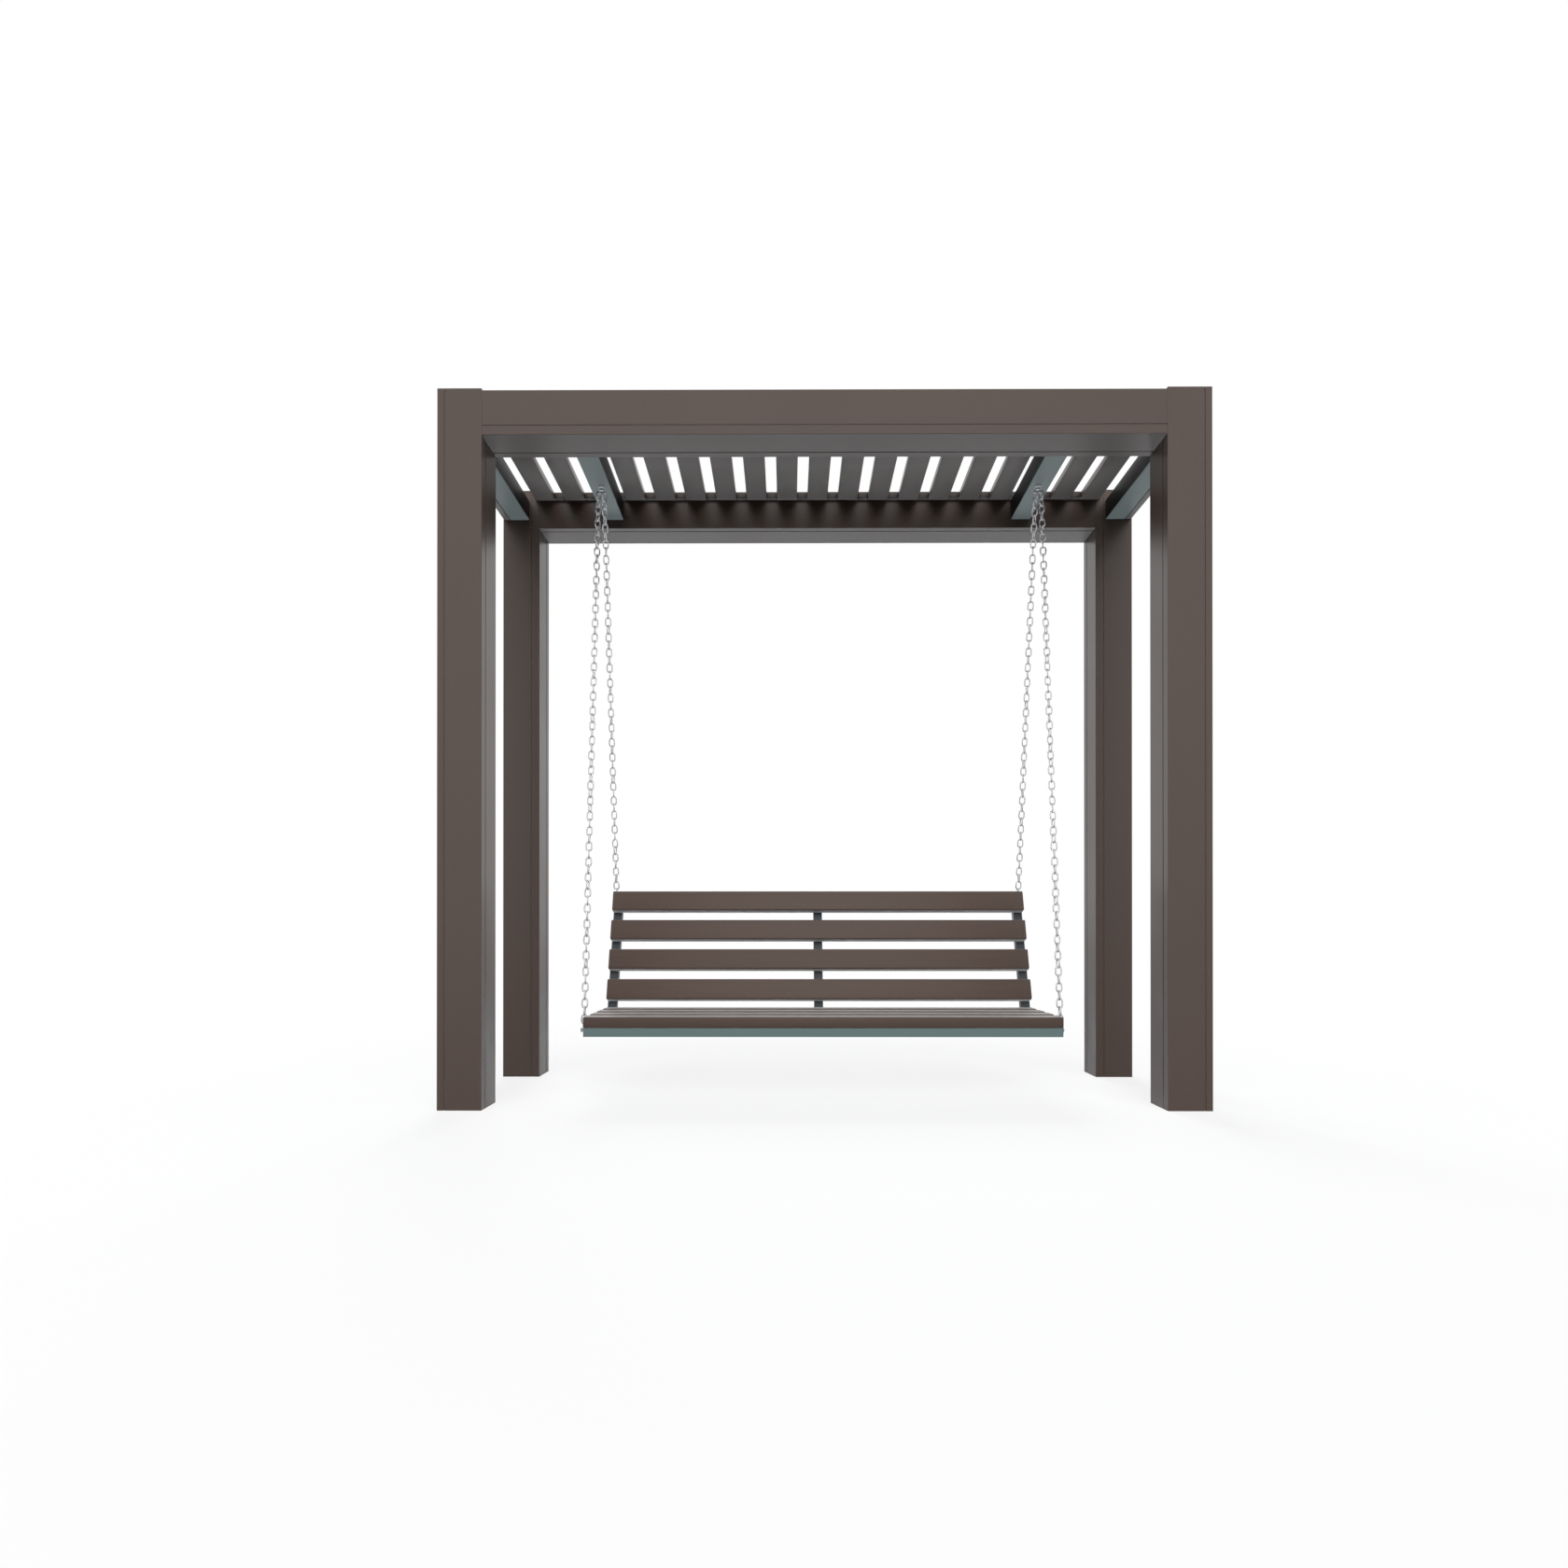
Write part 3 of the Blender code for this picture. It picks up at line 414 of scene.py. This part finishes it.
def buildChainTree():
    tree, given = newTree("hangingChain", [
        ("Count", "Int", 40), ("Pitch", "Float", 0.028), ("Wire", "Float", 0.0025),
        ("Width", "Float", 0.02), ("Top", "Vector", None), ("Lean", "Vector", None),
        ("Turn", "Float", 0.0), ("Decay", "Float", 8.0), ("Twist", "Float", 0.05),
        ("Loosen", "Float", 8.0), ("Seed", "Int", 1), ("Material", "Material", None),
    ])
    wide = addNode(tree, "ShaderNodeMath", {0: given["Wire"], 1: -2.0, 2: given["Width"]},
                   operation="MULTIPLY_ADD").outputs[0]
    tall = addNode(tree, "ShaderNodeMath", {0: given["Wire"], 1: 2.0, 2: given["Pitch"]},
                   operation="MULTIPLY_ADD").outputs[0]
    frameShape = addNode(tree, "GeometryNodeCurvePrimitiveQuadrilateral",
                         {"Width": wide, "Height": tall})
    # just under half the width, so that two corners never meet in one point
    bend = addNode(tree, "ShaderNodeMath", {0: wide, 1: 0.4999}, operation="MULTIPLY").outputs[0]
    oval = addNode(tree, "GeometryNodeFilletCurve",
                   {"Curve": frameShape.outputs["Curve"], "Radius": bend, "Count": 2}, mode="POLY")
    wire = addNode(tree, "GeometryNodeCurvePrimitiveCircle",
                   {"Resolution": 6, "Radius": given["Wire"]})
    link = addNode(tree, "GeometryNodeCurveToMesh",
                   {"Curve": oval.outputs["Curve"], "Profile Curve": wire.outputs["Curve"]})
    smooth = addNode(tree, "GeometryNodeSetShadeSmooth", {"Geometry": link.outputs["Mesh"]})
    # stands up, with the centre of its top wire at the origin
    drop = addNode(tree, "ShaderNodeMath", {0: tall, 1: -0.5}, operation="MULTIPLY").outputs[0]
    hang = addNode(tree, "ShaderNodeCombineXYZ", {"Z": drop}).outputs["Vector"]
    upright = addNode(tree, "GeometryNodeTransform",
                      {"Geometry": smooth.outputs["Geometry"], "Translation": hang,
                       "Rotation": (math.pi / 2, 0, 0)})
    down = addNode(tree, "ShaderNodeMath", {0: given["Pitch"], 1: -1.0},
                   operation="MULTIPLY").outputs[0]
    step = addNode(tree, "ShaderNodeCombineXYZ", {"Z": down}).outputs["Vector"]
    row = addNode(tree, "GeometryNodeMeshLine", {"Count": given["Count"], "Offset": step},
                  mode="OFFSET")
    # every other link is turned by a quarter
    index = addNode(tree, "GeometryNodeInputIndex").outputs["Index"]
    odd = addNode(tree, "ShaderNodeMath", {0: index, 1: 2.0}, operation="MODULO").outputs[0]
    quarter = addNode(tree, "ShaderNodeMath", {0: odd, 1: math.pi / 2},
                      operation="MULTIPLY").outputs[0]
    less = addNode(tree, "ShaderNodeMath", {0: given["Twist"], 1: -1.0},
                   operation="MULTIPLY").outputs[0]
    wander = addNode(tree, "FunctionNodeRandomValue",
                     {2: less, 3: given["Twist"], "ID": index, "Seed": given["Seed"]},
                     data_type="FLOAT")
    share = addNode(tree, "ShaderNodeMath", {0: index, 1: given["Count"]},
                    operation="DIVIDE").outputs[0]
    left = addNode(tree, "ShaderNodeMath", {0: 1.0, 1: share}, operation="SUBTRACT").outputs[0]
    fading = addNode(tree, "ShaderNodeMath", {0: left, 1: given["Decay"]},
                     operation="POWER").outputs[0]
    turned = addNode(tree, "ShaderNodeMath", {0: fading, 1: given["Turn"], 2: quarter},
                     operation="MULTIPLY_ADD").outputs[0]
    # the two end links sit still on their pin, bolt or ear
    sway = addNode(tree, "ShaderNodeMath", {0: share, 1: left}, operation="MULTIPLY").outputs[0]
    free = addNode(tree, "ShaderNodeMath", {0: sway, 1: given["Loosen"]}, operation="MULTIPLY",
                   use_clamp=True).outputs[0]
    yaw = addNode(tree, "ShaderNodeMath", {0: wander.outputs[1], 1: free, 2: turned},
                  operation="MULTIPLY_ADD").outputs[0]
    turn = addNode(tree, "ShaderNodeCombineXYZ", {"Z": yaw}).outputs["Vector"]
    links = addNode(tree, "GeometryNodeInstanceOnPoints",
                    {"Points": row.outputs["Mesh"], "Instance": upright.outputs["Geometry"],
                     "Rotation": turn})
    placed = addNode(tree, "GeometryNodeTransform",
                     {"Geometry": links.outputs["Instances"], "Translation": given["Top"],
                      "Rotation": given["Lean"]})
    closeTree(tree, placed.outputs["Geometry"], given["Material"])
    return tree


def hangChain(tree, name, node, eye, foot, oddCount, seed):
    # From the cross pin at eye to foot, the centre of the last wire. The first and the last link
    # face the same way where the number of links is odd.
    wire = chain["wire"]
    top = eye - (foot - eye).normalized() * (chain["pinRadius"] + wire + chain["slip"])
    run = foot - top
    reach = run.length - 2 * wire
    count = oddCount + 2 * round((reach / chain["pitch"] - oddCount) / 2)
    values = {"Count": count, "Pitch": reach / count, "Wire": wire, "Width": chain["width"],
              "Top": top, "Lean": Vector((0, 0, -1)).rotation_difference(run).to_euler(),
              "Turn": -math.copysign(chain["turn"], eye.x), "Decay": chain["turnDecay"],
              "Twist": chain["twist"], "Loosen": chain["loosen"], "Seed": seed,
              "Material": chainZinc}
    growPiece(name, tree, values, "swing_bench", [node])


def buildChains():
    tree = buildChainTree()
    seed = 1
    for side, sideName in bothSides:
        eye = Vector((side * chain["frontTop"], *chain["pin"]))
        bolt = Vector((side * chain["frontFoot"], *chain["bolt"]))
        away = chain["boltRadius"] + chain["wire"] + chain["slip"]
        foot = bolt + (bolt - eye).normalized() * away
        hangChain(tree, "chainFront" + sideName, "chain_front_" + sideName.lower(),
                  eye, foot, 0, seed)
        eye = Vector((side * chain["rearTop"], *chain["pin"]))
        hole = Vector((side * chain["rearFoot"], *chain["earHole"]))
        away = chain["earHoleRadius"] - chain["wire"] - chain["slip"]
        foot = hole + (eye - hole).normalized() * away
        hangChain(tree, "chainRear" + sideName, "chain_rear_" + sideName.lower(),
                  eye, foot, 1, seed + 1)
        seed += 2


buildChains()
print("chains done")


hanger = {
    "x": 0.8358, "z": chain["pin"][1],
    # (height over the swing line, radius) of the collar and neck, then its foot
    "collar": ((0.0250, 0.0), (0.0250, 0.0116), (0.0245, 0.0120), (0.0215, 0.0120),
               (0.0205, 0.0117), (0.0178, 0.0082), (0.0168, 0.0074), (0.0155, 0.0072),
               (0.0105, 0.0072), (0.0098, 0.0066), (0.0098, 0.0)),
    # (distance out along X, radius) of the cross pin, with its peened ends
    "pin": ((0.0208, 0.0), (0.0207, 0.0022), (0.0203, 0.0035), (0.0197, 0.0040), (0.0190, 0.0040),
            (0.0188, 0.0036), (0.0188, 0.0030)),
    "lug": {"thickness": 0.0040, "radius": 0.0065, "root": 0.0113, "ease": 0.0005},
    "steps": 32, "sharpAngle": math.radians(40),
}


def turnedShape(shape, stations, steps, placeAt):
    # Closed skin through rings. placeAt turns (along, across, up) into a point, and a radius of 0
    # is a pole.
    rings = []
    for along, radius in stations:
        if radius == 0:
            rings.append([shape.verts.new(placeAt(along, 0, 0))])
        else:
            rings.append([shape.verts.new(placeAt(along, radius * math.cos(math.tau * i / steps),
                                                  radius * math.sin(math.tau * i / steps)))
                          for i in range(steps)])
    for low, high in zip(rings, rings[1:]):
        for i in range(steps):
            if len(low) == 1:
                corners = [low[0], high[i], high[i - 1]]
            elif len(high) == 1:
                corners = [low[i - 1], low[i], high[0]]
            else:
                corners = [low[i - 1], low[i], high[i], high[i - 1]]
            shape.faces.new(corners)


def buildHangers():
    # Forged collar, neck and lug in zinc, with a cross pin through the lug and a chain on each
    # side of it
    steps = hanger["steps"]
    lug = hanger["lug"]
    for side, sideName in bothSides:
        x, z = side * hanger["x"], hanger["z"]
        shape = bmesh.new()
        turnedShape(shape, hanger["collar"], steps,
                    lambda along, across, up: (x + across, up, z + along))
        pin = list(hanger["pin"])
        wholePin = pin + [(-along, radius) for along, radius in reversed(pin)]
        turnedShape(shape, wholePin, steps // 2,
                    lambda along, across, up: (x + along, across, z + up))
        # lug: a flat plate with a round foot and eased edges
        outline = [(lug["radius"], lug["root"])]
        turns = [math.pi * i / steps for i in range(steps + 1)]
        outline += [(lug["radius"] * math.cos(turn), -lug["radius"] * math.sin(turn))
                    for turn in turns]
        outline += [(-lug["radius"], lug["root"])]
        half, ease = lug["thickness"] / 2, lug["ease"]
        rings = []
        for out, less in ((-half, ease), (-half + ease, 0), (half - ease, 0), (half, ease)):
            shrink = 1 - less / lug["radius"]
            spots = [(x + out, y * shrink, z + (up * shrink if up < 0 else up))
                     for y, up in outline]
            rings.append([shape.verts.new(spot) for spot in spots])
        for low, high in zip(rings, rings[1:]):
            for i in range(len(outline)):
                shape.faces.new((low[i - 1], low[i], high[i], high[i - 1]))
        shape.faces.new(rings[0])
        shape.faces.new(rings[-1])
        bmesh.ops.recalc_face_normals(shape, faces=shape.faces)
        mesh = bpy.data.meshes.new("hanger" + sideName)
        shape.to_mesh(mesh)
        shape.free()
        mesh.shade_smooth()
        mesh.set_sharp_from_angle(angle=hanger["sharpAngle"])
        mesh.materials.append(hangerZinc)
        piece = bpy.data.objects.new("hanger" + sideName, mesh)
        scene.collection.objects.link(piece)
        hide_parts("hanger_" + sideName.lower())
        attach(piece, "pergola")


buildHangers()
print("hangers done")


def buildHeadTree():
    # A screw head on a washer at every start point, standing off along Facing. Shoulder is the
    # share of its height that is straight, and Crown that of its radius left at the top.
    tree, given = newTree("screwHeads", [
        ("Facing", "Vector", (0, 0, 1)), ("Sides", "Int", 6), ("Radius", "Float", 0.006),
        ("Height", "Float", 0.004), ("Shoulder", "Float", 0.7), ("Crown", "Float", 0.8),
        ("Washer", "Float", 0.008), ("WasherHeight", "Float", 0.001),
        ("Material", "Material", None),
    ])
    washer = addNode(tree, "GeometryNodeMeshCylinder",
                     {"Vertices": 24, "Radius": given["Washer"], "Depth": given["WasherHeight"]})
    halfWasher = addNode(tree, "ShaderNodeMath", {0: given["WasherHeight"], 1: 0.5},
                         operation="MULTIPLY")
    washerUp = addNode(tree, "ShaderNodeCombineXYZ", {"Z": halfWasher.outputs[0]}).outputs["Vector"]
    washerPlaced = addNode(tree, "GeometryNodeTransform",
                           {"Geometry": washer.outputs["Mesh"], "Translation": washerUp})
    body = addNode(tree, "ShaderNodeMath", {0: given["Height"], 1: given["Shoulder"]},
                   operation="MULTIPLY").outputs[0]
    head = addNode(tree, "GeometryNodeMeshCylinder",
                   {"Vertices": given["Sides"], "Radius": given["Radius"], "Depth": body})
    headHeight = addNode(tree, "ShaderNodeMath", {0: body, 1: 0.5, 2: given["WasherHeight"]},
                         operation="MULTIPLY_ADD").outputs[0]
    headUp = addNode(tree, "ShaderNodeCombineXYZ", {"Z": headHeight}).outputs["Vector"]
    headPlaced = addNode(tree, "GeometryNodeTransform",
                         {"Geometry": head.outputs["Mesh"], "Translation": headUp})
    topRadius = addNode(tree, "ShaderNodeMath", {0: given["Radius"], 1: given["Crown"]},
                        operation="MULTIPLY").outputs[0]
    crownHeight = addNode(tree, "ShaderNodeMath", {0: given["Height"], 1: body},
                          operation="SUBTRACT").outputs[0]
    crown = addNode(tree, "GeometryNodeMeshCone",
                    {"Vertices": given["Sides"], "Radius Top": topRadius,
                     "Radius Bottom": given["Radius"], "Depth": crownHeight})
    crownBase = addNode(tree, "ShaderNodeMath", {0: body, 1: given["WasherHeight"]},
                        operation="ADD").outputs[0]
    crownUp = addNode(tree, "ShaderNodeCombineXYZ", {"Z": crownBase}).outputs["Vector"]
    crownPlaced = addNode(tree, "GeometryNodeTransform",
                          {"Geometry": crown.outputs["Mesh"], "Translation": crownUp})
    whole = addNode(tree, "GeometryNodeJoinGeometry")
    for part in (washerPlaced, headPlaced, crownPlaced):
        tree.links.new(part.outputs["Geometry"], whole.inputs["Geometry"])
    aim = addNode(tree, "FunctionNodeAlignRotationToVector", {"Vector": given["Facing"]}, axis="Z")
    heads = addNode(tree, "GeometryNodeInstanceOnPoints",
                    {"Points": given["Geometry"], "Instance": whole.outputs["Geometry"],
                     "Rotation": aim.outputs["Rotation"]})
    closeTree(tree, heads.outputs["Instances"], given["Material"])
    return tree


headTree = buildHeadTree()

panHead = {"Sides": 16, "Radius": 0.0048, "Height": 0.0028, "Shoulder": 0.7, "Crown": 0.62,
           "Washer": 0.0049, "WasherHeight": 0.0004, "Material": boltZinc}
# standOff: from the slats' rear faces to those of the uprights; spread: off a slat's middle
backScrews = {"x": (-0.8145, 0.0, 0.8145), "spread": 0.022, "standOff": 0.0303}
seatScrews = {"x": (-0.816, 0.0, 0.816), "z": 0.2357}


def buildScrews():
    # from behind, through each upright into each back slat
    up, back = backDirections()
    face = Vector(backSlats["foot"]) + back * (backSlats["Thickness"] + backScrews["standOff"])
    points = []
    for x in backScrews["x"]:
        for number in range(backSlats["Count"]):
            middle = face + up * (number * backSlats["pitch"] + backSlats["Width"] / 2)
            for way in (-1, 1):
                points.append(middle + up * way * backScrews["spread"] + Vector((x, 0, 0)))
    growPiece("backSlatScrews", headTree, dict(panHead, Facing=back), "swing_bench",
              startPoints=points)
    # from below, through the rails into each seat slat
    rows = [seatSlats["First"][1] + n * seatSlats["Step"][1] for n in range(seatSlats["Count"])]
    points = [(x, y, seatScrews["z"]) for x in seatScrews["x"] for y in rows]
    growPiece("seatSlatScrews", headTree, dict(panHead, Facing=(0, 0, -1)), "swing_bench",
              startPoints=points)


# Inner and Outer: x of the faces that the nut's washer and the head lie on
chainBolt = {"Inner": 0.8007, "Outer": 0.85225, "Shank": chain["boltRadius"],
             "Y": chain["bolt"][0], "Z": chain["bolt"][1], "NutRadius": 0.0072, "NutHeight": 0.006,
             "HeadRadius": 0.0075, "HeadHeight": 0.005, "WasherRadius": 0.0082,
             "WasherHeight": 0.0012, "Material": boltZinc}


def buildBoltTree():
    # A hex bolt along X with a washer and nut at its inner end. Its shank reaches half a nut
    # past both faces. Side is 1 or -1: the parts are placed on that side, not mirrored, because
    # a mirrored mesh is inside out.
    tree, given = newTree("hexBolt", [
        ("Inner", "Float", 0.79), ("Outer", "Float", 0.85), ("Shank", "Float", 0.004),
        ("Y", "Float", 0.0), ("Z", "Float", 0.0), ("Side", "Float", 1.0),
        ("NutRadius", "Float", 0.007), ("NutHeight", "Float", 0.006),
        ("HeadRadius", "Float", 0.007), ("HeadHeight", "Float", 0.005),
        ("WasherRadius", "Float", 0.008), ("WasherHeight", "Float", 0.001),
        ("Material", "Material", None),
    ])
    whole = addNode(tree, "GeometryNodeJoinGeometry")
    length = addNode(tree, "ShaderNodeMath", {0: given["Outer"], 1: given["Inner"]},
                     operation="SUBTRACT")
    both = addNode(tree, "ShaderNodeMath", {0: given["Outer"], 1: given["Inner"]}, operation="ADD")
    middle = addNode(tree, "ShaderNodeMath", {0: both.outputs[0], 1: 0.5},
                     operation="MULTIPLY").outputs[0]
    stock = addNode(tree, "ShaderNodeMath", {0: length.outputs[0], 1: given["NutHeight"]},
                    operation="ADD").outputs[0]
    parts = [(16, given["Shank"], stock, middle)]
    for sides, part, way, face in ((6, "Nut", -0.5, "Inner"), (6, "Head", 0.5, "Outer"),
                                   (24, "Washer", -0.5, "Inner")):
        depth = given[part + "Height"]
        centre = addNode(tree, "ShaderNodeMath", {0: depth, 1: way, 2: given[face]},
                         operation="MULTIPLY_ADD").outputs[0]
        parts.append((sides, given[part + "Radius"], depth, centre))
    for sides, radius, depth, x in parts:
        rod = addNode(tree, "GeometryNodeMeshCylinder",
                      {"Vertices": sides, "Radius": radius, "Depth": depth})
        sided = addNode(tree, "ShaderNodeMath", {0: x, 1: given["Side"]}, operation="MULTIPLY")
        spot = addNode(tree, "ShaderNodeCombineXYZ",
                       {"X": sided.outputs[0], "Y": given["Y"], "Z": given["Z"]}).outputs["Vector"]
        laid = addNode(tree, "GeometryNodeTransform",
                       {"Geometry": rod.outputs["Mesh"], "Translation": spot,
                        "Rotation": (0, math.pi / 2, 0)})
        tree.links.new(laid.outputs["Geometry"], whole.inputs["Geometry"])
    closeTree(tree, whole.outputs["Geometry"], given["Material"])
    return tree


def buildBolts():
    tree = buildBoltTree()
    for side, sideName in bothSides:
        growPiece("chainBolt" + sideName, tree, dict(chainBolt, Side=float(side)), "swing_bench",
                  ["chain_bolt_" + sideName.lower()])


buildScrews()
buildBolts()
print("fasteners done")


stageLook = {
    "floorSize": 60.0,
    "floorBounce": 0.08, "floorPale": 0.90,   # what the floor gives back to things, and to the eye
    "floorGleam": 0.6,      # how bright a glossy coat or link shows it
    "shadowShare": 0.22,    # how much of the shadow is seen near the object
    "fadeStart": 1.4, "fadeEnd": 3.6,         # from where to where that fades out
    "ambient": 0.10,
}


def seenByEye(tree):
    # 1 on rays that end in the picture: straight, mirrored or through glass
    path = addNode(tree, "ShaderNodeLightPath")
    seen = addNode(tree, "ShaderNodeMath",
                   {0: path.outputs["Is Camera Ray"], 1: path.outputs["Is Glossy Ray"]},
                   operation="MAXIMUM")
    seenAll = addNode(tree, "ShaderNodeMath",
                      {0: seen.outputs[0], 1: path.outputs["Is Transmission Ray"]},
                      operation="MAXIMUM")
    return path, seenAll.outputs[0]


def buildFloor():
    # Pale floor. The camera and reflections see it near white, with the object's shadow kept.
    size = stageLook["floorSize"] / 2
    mesh = bpy.data.meshes.new("studioFloor")
    corners = [(-size, -size, 0), (size, -size, 0), (size, size, 0), (-size, size, 0)]
    mesh.from_pydata(corners, [], [(0, 1, 2, 3)])
    floor = bpy.data.objects.new("studioFloor", mesh)
    scene.collection.objects.link(floor)
    material, tree = newMaterial("paleStudioFloor")
    place = addNode(tree, "ShaderNodeTexCoord").outputs["Object"]
    far = addNode(tree, "ShaderNodeVectorMath", {0: place}, operation="LENGTH").outputs["Value"]
    fade = addNode(tree, "ShaderNodeMapRange",
                   {"Value": far, "From Min": stageLook["fadeStart"],
                    "From Max": stageLook["fadeEnd"], "To Min": 1 - stageLook["shadowShare"],
                    "To Max": 1.0}).outputs["Result"]
    path, seen = seenByEye(tree)
    share = addNode(tree, "ShaderNodeMath", {0: seen, 1: fade}, operation="MULTIPLY")
    paint = addNode(tree, "ShaderNodeMapRange",
                    {"Value": path.outputs["Is Camera Ray"], "To Min": stageLook["floorBounce"],
                     "To Max": stageLook["floorPale"]})
    matte = addNode(tree, "ShaderNodeBsdfDiffuse", {"Color": paint.outputs["Result"]})
    glow = addNode(tree, "ShaderNodeMapRange",
                   {"Value": path.outputs["Is Glossy Ray"], "To Min": 1.0,
                    "To Max": stageLook["floorGleam"]})
    white = addNode(tree, "ShaderNodeEmission",
                    {"Color": (1, 1, 1, 1), "Strength": glow.outputs["Result"]})
    mixed = addNode(tree, "ShaderNodeMixShader",
                    {0: share.outputs[0], 1: matte.outputs["BSDF"], 2: white.outputs["Emission"]})
    addNode(tree, "ShaderNodeOutputMaterial", {"Surface": mixed.outputs["Shader"]})
    mesh.materials.append(material)


def buildWorld():
    world = bpy.data.worlds.new("whiteStudio")
    scene.world = world
    world.use_nodes = True
    tree = world.node_tree
    tree.nodes.clear()
    strength = addNode(tree, "ShaderNodeMapRange",
                       {"Value": seenByEye(tree)[1], "To Min": stageLook["ambient"], "To Max": 1.0})
    sky = addNode(tree, "ShaderNodeBackground",
                  {"Color": (1, 1, 1, 1), "Strength": strength.outputs["Result"]})
    addNode(tree, "ShaderNodeOutputWorld", {"Surface": sky.outputs["Background"]})


lamps = {
    "keyLamp": {"from": (0.05, -0.67, 0.74), "spread": math.radians(58), "power": 1.87,
                "colour": (0.97, 0.99, 1.0), "shadow": True},
    "frontFill": {"from": (0.0, -0.95, 0.26), "spread": math.radians(40), "power": 1.08,
                  "colour": (0.94, 0.98, 1.0), "shadow": True},
    "backLamp": {"from": (-0.1, 0.80, 0.60), "spread": math.radians(30), "power": 2.0,
                 "colour": (0.97, 0.99, 1.0), "shadow": True},
    "leftFill": {"from": (-1.0, -0.12, 0.12), "spread": math.radians(40), "power": 0.7,
                 "colour": (0.97, 0.99, 1.0), "shadow": True},
    "rightFill": {"from": (1.0, -0.12, 0.12), "spread": math.radians(40), "power": 0.7,
                  "colour": (0.97, 0.99, 1.0), "shadow": True},
    # what the white floor throws back up: broad, and without a shadow of its own
    "floorFill": {"from": (0.0, 0.80, -0.60), "spread": math.radians(70), "power": 0.59,
                  "colour": (0.94, 0.98, 1.0), "shadow": False},
}


def buildLamps():
    for name, values in lamps.items():
        light = bpy.data.lights.new(name, "SUN")
        light.angle = values["spread"]
        light.energy = values["power"]
        light.color = values["colour"]
        light.use_shadow = values["shadow"]
        light.cycles.use_multiple_importance_sampling = values["shadow"]
        lamp = bpy.data.objects.new(name, light)
        lamp.rotation_euler = Vector(values["from"]).to_track_quat("Z", "Y").to_euler()
        scene.collection.objects.link(lamp)
        lamp.visible_camera = False
        lamp.visible_glossy = not values["shadow"]


# yaw and pitch in degrees, lens and sensor in millimetres
view = {"at": (-0.123, -3.5142, 0.6023), "yaw": 0.244, "pitch": 0.139, "lens": 21.10, "sensor": 36,
        "shiftX": 0.0003, "shiftY": 0.0924, "clipStart": 0.05}


def buildCamera():
    lensData = bpy.data.cameras.new("photoCamera")
    lensData.lens = view["lens"]
    lensData.sensor_width = view["sensor"]
    lensData.sensor_fit = "HORIZONTAL"
    lensData.shift_x = view["shiftX"]
    lensData.shift_y = view["shiftY"]
    lensData.clip_start = view["clipStart"]
    camera = bpy.data.objects.new("photoCamera", lensData)
    camera.location = view["at"]
    camera.rotation_euler = (math.radians(90 + view["pitch"]), 0, math.radians(view["yaw"]))
    scene.collection.objects.link(camera)
    scene.camera = camera


buildFloor()
buildWorld()
buildLamps()
buildCamera()
scene.view_settings.view_transform = "Standard"
print("stage done")
